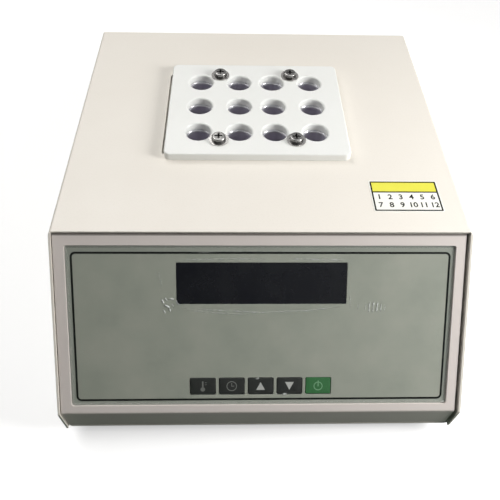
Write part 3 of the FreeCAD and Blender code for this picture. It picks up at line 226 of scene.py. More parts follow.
# %% Effect: fine parallel lines of worked metal
def make_grain():
    group, enter, leave = new_group(
        "worked_grain", {"Vector": ("Vector", None), "Stretch": ("Vector", (1.0, 12.0, 12.0)),
                         "Scale": ("Float", 220.0)}, {"Lines": "Float"})
    pulled = add_node(group, "ShaderNodeVectorMath", {"operation": "MULTIPLY"}, i0=enter.outputs["Vector"],
                      i1=enter.outputs["Stretch"])
    lines = add_node(group, "ShaderNodeTexNoise", Vector=pulled.outputs[0], Scale=enter.outputs["Scale"],
                     Detail=3.0, Roughness=0.7)
    group.links.new(lines.outputs["Fac"], leave.inputs["Lines"])
    return group


GRAIN = make_grain()
print("group:", GRAIN.name)


# %% Effect: wear where an edge has been rubbed
def make_wear():
    group, enter, leave = new_group(
        "edge_wear", {"Vector": ("Vector", None), "Reach": ("Float", 0.0006), "Breakup": ("Float", 260.0),
                      "Amount": ("Float", 0.6)}, {"Mask": "Float"})
    rounded = add_node(group, "ShaderNodeBevel", {"samples": 4}, Radius=enter.outputs["Reach"])
    flat = add_node(group, "ShaderNodeNewGeometry")
    agree = add_node(group, "ShaderNodeVectorMath", {"operation": "DOT_PRODUCT"}, i0=rounded.outputs[0],
                     i1=flat.outputs["Normal"])
    edge = remap(group, agree.outputs["Value"], 0.99, 0.86)
    patches = add_node(group, "ShaderNodeTexNoise", Vector=enter.outputs["Vector"], Scale=enter.outputs["Breakup"],
                       Detail=3.0)
    both = combine(group, "MULTIPLY", edge, remap(group, patches.outputs["Fac"], 0.42, 0.62))
    group.links.new(combine(group, "MULTIPLY", both, enter.outputs["Amount"]), leave.inputs["Mask"])
    return group


WEAR = make_wear()
print("group:", WEAR.name)


# %% Effect: dust that settles on what faces up
def make_dust():
    group, enter, leave = new_group(
        "settled_dust", {"Vector": ("Vector", None), "Scale": ("Float", 900.0), "Amount": ("Float", 0.3)},
        {"Mask": "Float"})
    facing = add_node(group, "ShaderNodeSeparateXYZ", i0=add_node(group, "ShaderNodeNewGeometry").outputs["Normal"])
    specks = add_node(group, "ShaderNodeTexNoise", Vector=enter.outputs["Vector"], Scale=enter.outputs["Scale"],
                      Detail=4.0, Roughness=0.7)
    both = combine(group, "MULTIPLY", remap(group, facing.outputs["Z"], 0.2, 1.0),
                   remap(group, specks.outputs["Fac"], 0.52, 0.74))
    group.links.new(combine(group, "MULTIPLY", both, enter.outputs["Amount"]), leave.inputs["Mask"])
    return group


DUST = make_dust()
DUST_TONE = tone(196, 190, 180)
print("group:", DUST.name)

# %% [markdown]
# ## One recipe for every finish
# Paint, plastic and metal differ in a few numbers: two tones to mottle between, how rough, how metallic, how
# strong the skin or the grain, how much wear and dust. So one function lays the shared effects over a Principled
# shader, and each finish is a call with its own values. Wear is (tone, reach in metres, amount).


# %% Build a finish from its colours and textures
BUMP_HEIGHT = 0.1 * MM


def finish(name, colour, shade, rough=(0.4, 0.5), metal=0.0, coat=0.0, mottle=(40.0, 0.5), skin=(900.0, 0.05, 0.4),
           grain=None, wear=None, dust=0.0, clear=0.0, shine=0.5):
    """rough and mottle are pairs, skin is (scale, strength, grit), grain (stretch, scale, strength).

    shine is the strength of the plain reflection, 0.5 for most materials.
    """
    material, tree, shader, place = new_material(name)
    base = place_group(tree, MOTTLING, Vector=place, Colour=colour, Shade=shade, Scale=mottle[0], Amount=mottle[1])
    surface = base.outputs["Colour"]
    if wear:
        worn = place_group(tree, WEAR, Vector=place, Reach=wear[1], Amount=wear[2])
        surface = mix_colours(tree, worn.outputs["Mask"], surface, wear[0])
    if dust:
        settled = place_group(tree, DUST, Vector=place, Amount=dust)
        surface = mix_colours(tree, settled.outputs["Mask"], surface, DUST_TONE)
    tree.links.new(surface, shader.inputs["Base Color"])
    height = place_group(tree, SKIN, Vector=place, Scale=skin[0], Grit=skin[2]).outputs["Height"]
    strength = skin[1]
    uneven = base.outputs["Mask"]
    if grain:
        height = place_group(tree, GRAIN, Vector=place, Stretch=grain[0], Scale=grain[1]).outputs["Lines"]
        strength = grain[2]
        uneven = height
    tree.links.new(remap(tree, uneven, 0.0, 1.0, *rough), shader.inputs["Roughness"])
    bump = add_node(tree, "ShaderNodeBump", Height=height, Strength=strength, Distance=BUMP_HEIGHT)
    tree.links.new(bump.outputs[0], shader.inputs["Normal"])
    shader.inputs["Metallic"].default_value = metal
    shader.inputs["Coat Weight"].default_value = coat
    shader.inputs["Coat Roughness"].default_value = 0.08
    shader.inputs["Specular IOR Level"].default_value = shine
    shader.inputs["Transmission Weight"].default_value = clear
    return material


print("finish recipe ready")

# %% [markdown]
# ## Paint of the case
# The sheet metal wears a satin cream powder coat: a fine orange-peel skin, faint handling marks, a little dust on
# the top, and slightly paler rubbed bends. The front panel carries the same paint, but in a greyer and pinker tone
# that stands in for part of the slope's shade, so it gets its own two tones.

# %% Paint for the case and for the front panel
case_paint = finish("case_paint", tone(237, 232, 223), tone(232, 226, 216), rough=(0.42, 0.52),
                    mottle=(14.0, 0.5), skin=(1300.0, 0.10, 0.3), wear=(tone(246, 242, 234), 0.7 * MM, 0.5),
                    dust=0.12)
# Painted shade: the panel paint is a greyer, pinker copy of the case paint, standing in for part of the slope's
# shade.
panel_paint = finish("panel_paint", tone(226, 218, 213), tone(219, 210, 205), rough=(0.40, 0.50),
                     mottle=(18.0, 0.5), skin=(1300.0, 0.10, 0.3), wear=(tone(240, 232, 226), 0.6 * MM, 0.5),
                     dust=0.06)
print("paints:", case_paint.name, panel_paint.name)

# %% [markdown]
# ## Painted shade in seams and recesses
# Shade falls in two narrow places: right under the cover's front edge, and in the cross recess of a
# screw. Both are too small for the lamps alone to darken, so a darker tone is laid over the finish there as painted
# shade. The place is found by height in the one case, and by distance from each screw's axis in the other.


# %% Lay a darker tone over a finish
def shade_over(material, make_mask, shade):
    """Lays a painted shade over a finish that is already made. make_mask gets the tree and the object coordinates.
    """
    tree = material.node_tree
    surface_input = tree.nodes["Principled BSDF"].inputs["Base Color"]
    surface = surface_input.links[0].from_socket
    place = tree.nodes.new("ShaderNodeTexCoord").outputs["Object"]
    tree.links.new(mix_colours(tree, make_mask(tree, place), surface, shade), surface_input)


SEAM_DEPTH = 2.15 * MM
SEAM_FADE = 0.4 * MM
SEAM_LEVEL = case_high.z - SEAM_DEPTH


def seam_shade_mask(tree, place):
    """Nearly 1 above the level of the seam, where the shade under the cover's edge is painted."""
    height = add_node(tree, "ShaderNodeSeparateXYZ", i0=place).outputs["Z"]
    return remap(tree, height, SEAM_LEVEL - SEAM_FADE, SEAM_LEVEL, 0.0, 0.85)


# Painted shade: a dark strip on the front panel right under the cover's front edge.
shade_over(panel_paint, seam_shade_mask, tone(70, 62, 56))
print("seam shaded from", round(SEAM_DEPTH / MM, 2), "mm below the top")

# %% Where the cross recesses of the plate screws are, which get a painted shade
SCREW_HEAD_RADIUS = 4.3 * MM
RECESS_RADIUS = 2.9 * MM
RECESS_DEPTH = 0.3 * MM


def recess_shade_mask(tree, place):
    """Painted shade: nearly 1 below the heads' faces and near the screws' axes; folding at the middle makes the four
    screws one.
    """
    low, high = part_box("plate_screws")
    middle = (low + high) / 2
    centred = add_node(tree, "ShaderNodeVectorMath", {"operation": "SUBTRACT"}, i0=place, i1=(*middle.xy, high.z))
    folded = add_node(tree, "ShaderNodeVectorMath", {"operation": "ABSOLUTE"}, i0=centred.outputs[0])
    axis = (high - low) / 2 - Vector((SCREW_HEAD_RADIUS, SCREW_HEAD_RADIUS, 0))
    off = add_node(tree, "ShaderNodeVectorMath", {"operation": "SUBTRACT"}, i0=folded.outputs[0], i1=(*axis.xy, 0))
    sides = add_node(tree, "ShaderNodeVectorMath", {"operation": "MULTIPLY"}, i0=off.outputs[0], i1=(1, 1, 0))
    reach = add_node(tree, "ShaderNodeVectorMath", {"operation": "LENGTH"}, i0=sides.outputs[0])
    below = add_node(tree, "ShaderNodeSeparateXYZ", i0=off.outputs[0]).outputs["Z"]
    return combine(tree, "MULTIPLY", remap(tree, reach.outputs["Value"], RECESS_RADIUS, 0.8 * RECESS_RADIUS),
                   remap(tree, below, RECESS_DEPTH, 1.5 * RECESS_DEPTH, 0.0, 0.9))


print("recesses:", round(RECESS_RADIUS / MM, 1), "mm in radius")

# %% [markdown]
# ## Metals
# Bright zinc on the case screws, stainless steel on the four plate screws and their flat washers, darker sprung
# steel in the rings between them, galvanised sheet round the block and brass in the mains pins: all are one
# recipe with a metallic shader. What tells them apart is tone, how rough they are, and the way the grain runs.

# %% Metals from zinc to brass
zinc = finish("zinc_plate", tone(190, 191, 196), tone(150, 150, 152), rough=(0.22, 0.38), metal=1.0,
              mottle=(300.0, 0.5), grain=((1.0, 1.0, 6.0), 900.0, 0.15), wear=(tone(225, 225, 228), 0.3 * MM, 0.6))
stainless = finish("stainless_steel", tone(205, 203, 200), tone(150, 148, 146), rough=(0.16, 0.34), metal=1.0,
                   mottle=(500.0, 0.45), grain=((6.0, 6.0, 1.0), 700.0, 0.12),
                   wear=(tone(236, 235, 232), 0.3 * MM, 0.6))
screw_steel = finish("screw_steel", tone(172, 171, 169), tone(104, 103, 102), rough=(0.18, 0.34), metal=1.0,
                     mottle=(420.0, 0.8), grain=((6.0, 6.0, 1.0), 700.0, 0.12),
                     wear=(tone(226, 225, 222), 0.3 * MM, 0.6))
# Painted shade in the cross recesses of the plate screws.
shade_over(screw_steel, recess_shade_mask, tone(24, 23, 22))
spring_steel = finish("spring_steel", tone(92, 91, 90), tone(52, 51, 51), rough=(0.3, 0.44), metal=1.0,
                      mottle=(500.0, 0.8), wear=(tone(150, 149, 148), 0.3 * MM, 0.5))
galvanised = finish("galvanised_sheet", tone(176, 180, 184), tone(140, 145, 150), rough=(0.30, 0.46), metal=1.0,
                    mottle=(120.0, 0.8), skin=(260.0, 0.05, 0.6), wear=(tone(210, 212, 214), 0.4 * MM, 0.5))
aluminium = finish("milled_aluminium", tone(200, 201, 203), tone(172, 172, 173), rough=(0.25, 0.42), metal=1.0,
                   mottle=(60.0, 0.5), grain=((1.0, 14.0, 14.0), 260.0, 0.15),
                   wear=(tone(225, 225, 226), 0.4 * MM, 0.5))
brass = finish("brass", tone(214, 180, 98), tone(176, 138, 70), rough=(0.22, 0.4), metal=1.0, mottle=(300.0, 0.6),
               grain=((1.0, 8.0, 1.0), 500.0, 0.1), wear=(tone(240, 214, 140), 0.3 * MM, 0.5))
core_steel = finish("laminated_steel", tone(70, 68, 66), tone(46, 44, 42), rough=(0.3, 0.45), metal=0.6, coat=0.3,
                    mottle=(90.0, 0.7), grain=((40.0, 1.0, 1.0), 60.0, 0.5))
black_steel = finish("blackened_steel", tone(34, 34, 36), tone(22, 22, 24), rough=(0.35, 0.5), metal=0.3,
                     mottle=(120.0, 0.6), wear=(tone(96, 96, 98), 0.3 * MM, 0.6))
metals = (zinc, stainless, screw_steel, spring_steel, galvanised, aluminium, brass, core_steel, black_steel)
print("metals:", ", ".join(metal.name for metal in metals))

# %% [markdown]
# ## The block's metal
# The heated block is aluminium that has been hot for years. The mouths of its wells are polished by the tubes and
# given a paler tone as a painted highlight, and further down the bare metal is dull. One finish can do both, because
# height alone tells the two apart.

# %% The block's metal, polished and with a painted highlight at the mouths, dull down the wells
MOUTH_ROUND = 2.0 * MM
DULL_FROM = 5.0 * MM


def make_block_metal():
    material, tree, shader, place = new_material("seasoned_block")
    heat = place_group(tree, MOTTLING, Vector=place, Colour=tone(196, 194, 206), Shade=tone(166, 162, 176),
                       Scale=70.0, Amount=0.8)
    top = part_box("heating_block")[1].z
    level = add_node(tree, "ShaderNodeSeparateXYZ", i0=place).outputs["Z"]
    mouth = remap(tree, level, top - MOUTH_ROUND, top - 1.2 * MOUTH_ROUND, 1.0, 0.0)
    deep = remap(tree, level, top - MOUTH_ROUND, top - DULL_FROM)
    dull = mix_colours(tree, deep, heat.outputs["Colour"], tone(196, 191, 205))
    # The mouths' paler tone is real polish together with a painted highlight along the rims.
    tree.links.new(mix_colours(tree, mouth, dull, tone(236, 236, 240)), shader.inputs["Base Color"])
    lines = place_group(tree, GRAIN, Vector=place, Stretch=(1.0, 1.0, 10.0), Scale=300.0)
    tree.links.new(remap(tree, mouth, 0.0, 1.0, 0.38, 0.13), shader.inputs["Roughness"])
    bump = add_node(tree, "ShaderNodeBump", Height=lines.outputs["Lines"], Strength=0.15, Distance=BUMP_HEIGHT)
    tree.links.new(bump.outputs[0], shader.inputs["Normal"])
    shader.inputs["Metallic"].default_value = 0.35
    return material


block_metal = make_block_metal()
print("metal:", block_metal.name)

# %% [markdown]
# ## Plastics, rubber and what is inside
# Moulded plastics differ from paint mostly in a finer skin and tighter mottling. The inner pieces are never seen
# in the portrait, yet each has a finish of its own as well:
# boards with solder mask, ceramic fibre, taped copper, silicone sleeve.

# %% Plastics, rubber, boards and insulation
black_plastic = finish("black_plastic", tone(30, 31, 31), tone(22, 22, 23), rough=(0.42, 0.56), mottle=(150.0, 0.6),
                       skin=(1600.0, 0.12, 0.8), wear=(tone(70, 70, 70), 0.4 * MM, 0.45))
gloss_black = finish("gloss_black", tone(18, 18, 19), tone(12, 12, 13), rough=(0.14, 0.24), coat=0.4,
                     mottle=(150.0, 0.5), skin=(1200.0, 0.03, 0.4), wear=(tone(60, 60, 60), 0.3 * MM, 0.4))
grey_plastic = finish("grey_plastic", tone(112, 116, 118), tone(92, 96, 98), rough=(0.4, 0.52), mottle=(120.0, 0.5),
                      skin=(1500.0, 0.10, 0.8), wear=(tone(150, 152, 152), 0.3 * MM, 0.4))
green_plastic = finish("green_plastic", tone(70, 140, 80), tone(54, 118, 64), rough=(0.36, 0.48),
                       mottle=(160.0, 0.5), skin=(1500.0, 0.08, 0.6), wear=(tone(120, 175, 125), 0.3 * MM, 0.4))
white_plastic = finish("white_plastic", tone(226, 225, 220), tone(212, 210, 204), rough=(0.38, 0.5),
                       mottle=(120.0, 0.5), skin=(1500.0, 0.08, 0.6), dust=0.1)
rubber = finish("rubber", tone(38, 37, 36), tone(28, 27, 27), rough=(0.7, 0.85), mottle=(120.0, 0.7),
                skin=(700.0, 0.25, 0.9), wear=(tone(74, 72, 70), 0.6 * MM, 0.5), dust=0.3)
circuit_board = finish("solder_mask", tone(28, 98, 58), tone(20, 76, 44), rough=(0.22, 0.36), coat=0.3,
                       mottle=(420.0, 0.7), grain=((1.0, 9.0, 1.0), 420.0, 0.25))
fibre = finish("ceramic_fibre", tone(232, 229, 220), tone(206, 200, 188), rough=(0.85, 0.95), mottle=(180.0, 0.8),
               skin=(420.0, 0.9, 1.2))
insulating_board = finish("insulating_board", tone(220, 216, 204), tone(196, 190, 176), rough=(0.75, 0.9),
                          mottle=(260.0, 0.8), skin=(800.0, 0.4, 1.0))
copper_winding = finish("taped_winding", tone(196, 136, 62), tone(158, 100, 44), rough=(0.3, 0.45), coat=0.4,
                        mottle=(120.0, 0.6), grain=((1.0, 1.0, 60.0), 60.0, 0.5))
wire_sleeve = finish("silicone_sleeve", tone(214, 208, 196), tone(190, 182, 168), rough=(0.5, 0.62),
                     mottle=(90.0, 0.7), skin=(900.0, 0.2, 0.6), dust=0.1)
display_pane = finish("display_pane", tone(74, 92, 58), tone(60, 78, 46), rough=(0.06, 0.12), coat=0.6,
                      mottle=(90.0, 0.5), grain=((160.0, 160.0, 1.0), 8.0, 0.02))
fuse_glass = finish("fuse_glass", tone(214, 220, 220), tone(196, 204, 206), rough=(0.05, 0.12),
                    mottle=(300.0, 0.4), skin=(1500.0, 0.02, 0.4), clear=0.8)
print("plastics, boards and insulation ready")

# %% [markdown]
# ## Give the kept solids their finish
# The record says what each node is made of, as the name of a material slot. So the finishes are handed out by
# slot, and no node can be forgotten.

# %% Hand the finishes out by the record's slots
BY_SLOT = {
    "case_paint": case_paint, "panel_paint": panel_paint, "steel_screws": zinc, "rubber": rubber,
    "label": white_plastic, "aluminium": aluminium, "overlay_print": grey_plastic, "clear_film": white_plastic,
    "dark_window": gloss_black, "black_plastic": black_plastic, "green_key": green_plastic,
    "black_steel": black_steel, "glass": display_pane, "circuit_board": circuit_board,
    "white_plastic": white_plastic, "hole_plate_white": white_plastic, "stainless": stainless, "fibre": fibre,
    "insulating_board": insulating_board, "galvanised": galvanised, "brass": brass, "gloss_black": gloss_black,
    "grey_plastic": grey_plastic, "green_plastic": green_plastic, "core_steel": core_steel,
    "copper_winding": copper_winding, "wire_sleeve": wire_sleeve, "fuse_glass": fuse_glass}


def repaint(piece, material):
    """Puts one finish in every material slot of a kept solid."""
    if not piece.material_slots:
        piece.data.materials.append(material)
    for slot in piece.material_slots:
        slot.material = material


for row in frame["record"]["subparts"]:
    repaint(frame["nodes"][row["node"]], BY_SLOT[row["material_slot"]])
repaint(frame["nodes"]["heater_plate"], block_metal)
repaint(frame["nodes"]["plate_screws"], screw_steel)
repaint(frame["nodes"]["spring_washers"], spring_steel)

# %% [markdown]
# ## Mesh helpers
# The console's pieces are flat plates with rounded corners, openings and softly broken edges. They could be boxes
# with modifiers, but then every opening would need a boolean. Rings of points stacked into walls, with the two
# faces filled between them, give clean rims on the outline and on each opening at once.


# %% Outlines that can grow or shrink
def rounded_outline(low, high, corner, steps=6):
    """Returns a function of growth that gives a rounded rectangle's points, anticlockwise."""
    def points(grow=0.0):
        radius = max(corner + grow, 0.02 * MM)
        result = []
        for turn, (x, y) in enumerate(((high[0], high[1]), (low[0], high[1]), (low[0], low[1]), (high[0], low[1]))):
            side_x = 1 if x == high[0] else -1
            side_y = 1 if y == high[1] else -1
            centre_x = x + side_x * (grow - radius)
            centre_y = y + side_y * (grow - radius)
            for step in range(steps + 1):
                angle = math.radians(90) * (turn + step / steps)
                result.append((centre_x + radius * math.cos(angle), centre_y + radius * math.sin(angle)))
        return result
    return points


def round_outline(x, y, radius, steps=48):
    """The same for a circle."""
    def points(grow=0.0):
        turns = [2 * math.pi * step / steps for step in range(steps)]
        return [(x + (radius + grow) * math.cos(turn), y + (radius + grow) * math.sin(turn)) for turn in turns]
    return points


def shape_outline(corners):
    """The same for a small sharp shape, which doesn't grow."""
    return lambda grow=0.0: corners


# %% A plate with openings and softened rims
def add_wall(build, outline, low, high, rims, sign, steps=4):
    """Stacks rings from the lower face to the upper one. sign is -1 for an outline and 1 for an opening."""
    turns = [math.radians(90) * step / steps for step in range(steps + 1)]
    levels = [(0.0, low)]
    if rims[0]:
        levels = [(rims[0] * (1 - math.sin(turn)), low + rims[0] * (1 - math.cos(turn))) for turn in turns]
    if rims[1]:
        levels += [(rims[1] * (1 - math.sin(turn)), high - rims[1] * (1 - math.cos(turn)))
                   for turn in reversed(turns)]
    else:
        levels.append((0.0, high))
    rings = [[build.verts.new((x, y, z)) for x, y in outline(sign * inset)] for inset, z in levels]
    for below, above in zip(rings, rings[1:]):
        for here in range(len(below)):
            after = (here + 1) % len(below)
            build.faces.new((below[here], below[after], above[after], above[here]))
    return rings[0], rings[-1]


def plate_mesh(build, outline, openings, low, high, rims=(0.0, 0.0), opening_rims=(0.0, 0.0), steps=4):
    """Adds a plate with its openings to a mesh that is being built."""
    loops = [add_wall(build, outline, low, high, rims, -1, steps)]
    loops += [add_wall(build, opening, low, high, opening_rims, 1, steps) for opening in openings]
    for face in (0, 1):
        edges = []
        for loop in loops:
            ring = loop[face]
            edges += [build.edges.get((ring[here - 1], ring[here])) for here in range(len(ring))]
        bmesh.ops.triangle_fill(build, edges=edges, use_beauty=True)


def finish_mesh(name, build, place=Matrix.Identity(4), smooth_below=40):
    """Turns what was built into an object with clean normals, smooth except at sharp edges."""
    bmesh.ops.remove_doubles(build, verts=build.verts, dist=1e-7)
    bmesh.ops.recalc_face_normals(build, faces=build.faces)
    mesh = bpy.data.meshes.new(name)
    build.to_mesh(mesh)
    build.free()
    mesh.shade_smooth()
    mesh.set_sharp_from_angle(angle=math.radians(smooth_below))
    piece = bpy.data.objects.new(name, mesh)
    bpy.context.collection.objects.link(piece)
    piece.matrix_world = place
    level_faces = piece.modifiers.new("level_faces", "WEIGHTED_NORMAL")
    level_faces.keep_sharp = True
    return piece


def plate_piece(name, outline, openings, low, high, place=Matrix.Identity(4), **shape):
    """One plate with its openings, as an object."""
    build = bmesh.new()
    plate_mesh(build, outline, openings, low, high, **shape)
    return finish_mesh(name, build, place)


def settle(piece, material, slot, body, *nodes):
    """Gives a piece its finish, hides the nodes that it stands for and hangs it on the body that carries it. slot is
    not used.
    """
    piece.data.materials.append(material)
    if nodes:
        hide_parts(*nodes)
    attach(piece, body)
    return piece


print("mesh helpers ready")

# %% [markdown]
# ## The printed overlay
# The console is a sheet of matt polyester, printed grey-green with one thin black line round it, with openings
# for the window and the keys. The sheet is one plate with six openings; the ink line is a real, very thin ring
# lying on it, so it stays crisp in any view and needs no picture. The field inside the line is printed a second
# time and a little unevenly, so it is a thin layer of its own.

# %% The overlay's finish and sheet
WINDOW_PLAY = 0.1 * MM
KEY_PLAY = 0.25 * MM
KEY_LIP = 0.8 * MM
KEYS = ("temperature_key", "timer_key", "up_key", "down_key", "start_key")
overlay_finish = finish("overlay_print", tone(158, 163, 153), tone(148, 153, 143), rough=(0.34, 0.46), coat=0.5,
                        mottle=(16.0, 0.9), skin=(2600.0, 0.10, 0.8))
overlay_low, overlay_high = slope_box("membrane_overlay")
window_low, window_high = slope_box("display_window")
grown = Vector((WINDOW_PLAY, WINDOW_PLAY))
overlay_openings = [rounded_outline(window_low.xy - grown, window_high.xy + grown, 0.6 * MM)]
key_boxes = {}
for key in KEYS:
    low, high = slope_box(key)
    lip = Vector((KEY_LIP, KEY_LIP))
    key_boxes[key] = (low.xy + lip, high.xy - lip, low.z, high.z)
    play = Vector((KEY_PLAY, KEY_PLAY))
    overlay_openings.append(rounded_outline(key_boxes[key][0] - play, key_boxes[key][1] + play, 1.0 * MM))
overlay = plate_piece("console_overlay", rounded_outline(overlay_low.xy, overlay_high.xy, 1.2 * MM),
                      overlay_openings, overlay_low.z, overlay_high.z, SLOPE, rims=(0.0, 0.08 * MM),
                      opening_rims=(0.0, 0.08 * MM))
settle(overlay, overlay_finish, "overlay_print", "case", "membrane_overlay")
print("overlay:", [round(size / MM, 1) for size in (overlay_high - overlay_low)], "mm")

# %% The ink line round the overlay and the printed field inside it
INK = 0.015 * MM
LINE_WIDTH = 1.25 * MM
ink = finish("black_ink", tone(5, 9, 7), tone(11, 16, 13), rough=(0.5, 0.6), mottle=(200.0, 0.6),
             skin=(2600.0, 0.08, 0.8), shine=0.15)
field_ink = finish("field_ink", tone(152, 158, 146), tone(167, 170, 158), rough=(0.32, 0.44), coat=0.5,
                   mottle=(34.0, 1.0), skin=(2600.0, 0.10, 0.8))
LINE_LEFT, LINE_RIGHT, LINE_TOP, LINE_BOTTOM = 11.5 * MM, 12.0 * MM, 12.3 * MM, 8.4 * MM
line_shape = rounded_outline(Vector((-half_width + LINE_LEFT, -slope_length + LINE_BOTTOM)),
                             Vector((half_width - LINE_RIGHT, -LINE_TOP)), 2.4 * MM, steps=8)
outer = shape_outline(line_shape(LINE_WIDTH / 2))
inner = shape_outline(line_shape(-LINE_WIDTH / 2))
ink_line = plate_piece("console_ink_line", outer, [inner], overlay_high.z - INK, overlay_high.z + INK, SLOPE)
settle(ink_line, ink, "black_plastic", "case")
field_openings = [shape_outline(opening(0.1 * MM)) for opening in overlay_openings]
field = plate_piece("console_field", inner, field_openings, overlay_high.z - INK, overlay_high.z + INK / 2, SLOPE)
settle(field, field_ink, "overlay_print", "case")
print("ink line:", round(LINE_WIDTH / MM, 2), "mm wide")

# %% [markdown]
# ## The window
# Behind the window sits a two-line display that is off, so the smoked pane reads as almost black with a blue
# cast. A plain gloss black would be flat; a coat over a dark body colour gives the soft, deep gloss of acrylic.

# %% The smoked window
smoked = finish("smoked_acrylic", tone(10, 12, 20), tone(6, 8, 14), rough=(0.22, 0.32), coat=0.1,
                mottle=(30.0, 0.7), skin=(1200.0, 0.02, 0.3), shine=0.25)
window = plate_piece("window_pane", rounded_outline(window_low.xy, window_high.xy, 0.5 * MM), [], window_low.z,
                     window_high.z, SLOPE, rims=(0.1 * MM, 0.25 * MM))
settle(window, smoked, "dark_window", "case", "display_window")
print("window:", [round(size / MM, 1) for size in (window_high - window_low)], "mm")

# %% [markdown]
# ## The five keys
# Each key is a moulded cap with a lip behind the overlay and a short stem onto its switch. The cap's face is
# slightly crowned and its edge is rounded, which is what catches a line of light on a real key. All five are one
# function: a stack of rounded rectangles that narrows from lip to cap, with the stem added beneath.

# %% A key cap with its lip and stem
LIP_THICKNESS = 0.9 * MM
STEM_LENGTH = 1.3 * MM
STEM_RADIUS = 2.0 * MM
CROWN = 0.12 * MM
CAP_EDGE = 0.45 * MM


def key_mesh(low, high, bottom, top):
    """Rings from the lip's back to the crowned face, with the stem as a second shell."""
    build = bmesh.new()
    cap = rounded_outline(low, high, 0.8 * MM, steps=5)
    lip_back = bottom + STEM_LENGTH
    lip_front = lip_back + LIP_THICKNESS
    face = top - CROWN
    rings = [(KEY_LIP - 0.1 * MM, lip_back), (KEY_LIP, lip_back + 0.1 * MM), (KEY_LIP, lip_front - 0.1 * MM),
             (KEY_LIP - 0.1 * MM, lip_front), (0.0, lip_front), (0.0, face - CAP_EDGE)]
    for step in range(1, 5):
        turn = math.radians(90) * step / 4
        rings.append((-CAP_EDGE * (1 - math.cos(turn)), face - CAP_EDGE * (1 - math.sin(turn))))
    for step in range(1, 4):
        rings.append((-CAP_EDGE - 1.1 * MM * step, face + CROWN * math.sin(math.radians(90) * step / 3)))
    stack = [[build.verts.new((x, y, z)) for x, y in cap(grow)] for grow, z in rings]
    for below, above in zip(stack, stack[1:]):
        for here in range(len(below)):
            after = (here + 1) % len(below)
            build.faces.new((below[here], below[after], above[after], above[here]))
    build.faces.new(stack[0][::-1])
    build.faces.new(stack[-1])
    middle = (low + high) / 2
    plate_mesh(build, round_outline(middle.x, middle.y, STEM_RADIUS, steps=24), [], bottom, lip_back + 0.05 * MM,
               rims=(0.2 * MM, 0.0))
    return build


key_black = finish("key_black", tone(28, 31, 28), tone(20, 23, 21), rough=(0.36, 0.48), coat=0.15,
                   mottle=(160.0, 0.6), skin=(2200.0, 0.10, 0.8), wear=(tone(78, 82, 78), 0.3 * MM, 0.5))
key_green = finish("key_green", tone(48, 110, 60), tone(40, 94, 52), rough=(0.36, 0.48), coat=0.15,
                   mottle=(160.0, 0.6), skin=(2200.0, 0.10, 0.8), wear=(tone(110, 165, 120), 0.3 * MM, 0.5))
for key in KEYS:
    low, high, bottom, top = key_boxes[key]
    green = key == "start_key"
    cap = finish_mesh(key + "_cap", key_mesh(low, high, bottom, top), SLOPE)
    settle(cap, key_green if green else key_black, "green_key" if green else "black_plastic", key, key)
print("keys:", len(KEYS), "caps of", round((high.x - low.x) / MM, 1), "by", round((high.y - low.y) / MM, 1), "mm")

# %% [markdown]
# ## Marks on the keys
# The marks are plain signs that any instrument may carry: a thermometer, a clock face, an up and a down triangle,
# and a run sign. They are thin printed shapes lying on the caps, built from discs, bars and rings.


# %% Shapes for the marks
def ring(x, y, radius, width, steps=32):
    return (shape_outline(round_outline(x, y, radius, steps)()),
            [shape_outline(round_outline(x, y, radius - width, steps)())])


def bar(x, y, length, width, angle=0.0):
    """A bar from x, y towards an angle, in degrees from upright."""
    turn = math.radians(angle)
    along = Vector((math.sin(turn), math.cos(turn)))
    side = Vector((along.y, -along.x)) * (width / 2)
    start = Vector((x, y))
    end = start + along * length
    return (shape_outline([tuple(start + side), tuple(end + side), tuple(end - side), tuple(start - side)]), [])


def triangle(x, y, width, height, way):
    corners = [(x - width / 2, y - way * height / 2), (x + width / 2, y - way * height / 2),
               (x, y + way * height / 2)]
    return (shape_outline(corners), [])


MARKS = {
    "temperature_key": [ring(0.0, -1.9 * MM, 1.35 * MM, 1.34 * MM, 24), bar(0.0, -1.4 * MM, 4.4 * MM, 0.9 * MM),
                        bar(1.2 * MM, 1.0 * MM, 1.2 * MM, 0.35 * MM, 90),
                        bar(1.2 * MM, 2.2 * MM, 1.2 * MM, 0.35 * MM, 90)],
    "timer_key": [ring(0.0, 0.0, 3.1 * MM, 0.5 * MM), bar(0.0, -0.2 * MM, 2.2 * MM, 0.45 * MM),
                  bar(-0.2 * MM, 0.0, 1.7 * MM, 0.45 * MM, 90)],
    "up_key": [triangle(0.0, 0.0, 5.2 * MM, 4.9 * MM, 1)],
    "down_key": [triangle(0.0, 0.0, 5.2 * MM, 4.9 * MM, -1)],
    "start_key": [ring(0.0, -0.2 * MM, 2.7 * MM, 0.5 * MM), bar(0.0, -0.4 * MM, 3.6 * MM, 0.6 * MM)]}


def print_ink(name, colour, shade):
    return finish(name, colour, shade, rough=(0.4, 0.5), mottle=(400.0, 0.5), skin=(2600.0, 0.06, 0.8))


grey_ink = print_ink("grey_ink", tone(122, 124, 120), tone(106, 108, 104))
light_ink = print_ink("light_ink", tone(192, 194, 190), tone(176, 178, 174))
pale_ink = print_ink("pale_green_ink", tone(128, 176, 136), tone(112, 160, 122))
MARK_INKS = {"start_key": pale_ink, "up_key": light_ink, "down_key": light_ink}
for key, marks in MARKS.items():
    low, high, bottom, top = key_boxes[key]
    middle = (low + high) / 2
    build = bmesh.new()
    for outline, openings in marks:
        plate_mesh(build, outline, openings, -2 * INK, INK)
    mark = finish_mesh(key + "_mark", build, SLOPE @ Matrix.Translation((middle.x, middle.y, top)))
    settle(mark, MARK_INKS.get(key, grey_ink), "white_plastic", key)
print("marks:", ", ".join(MARKS))
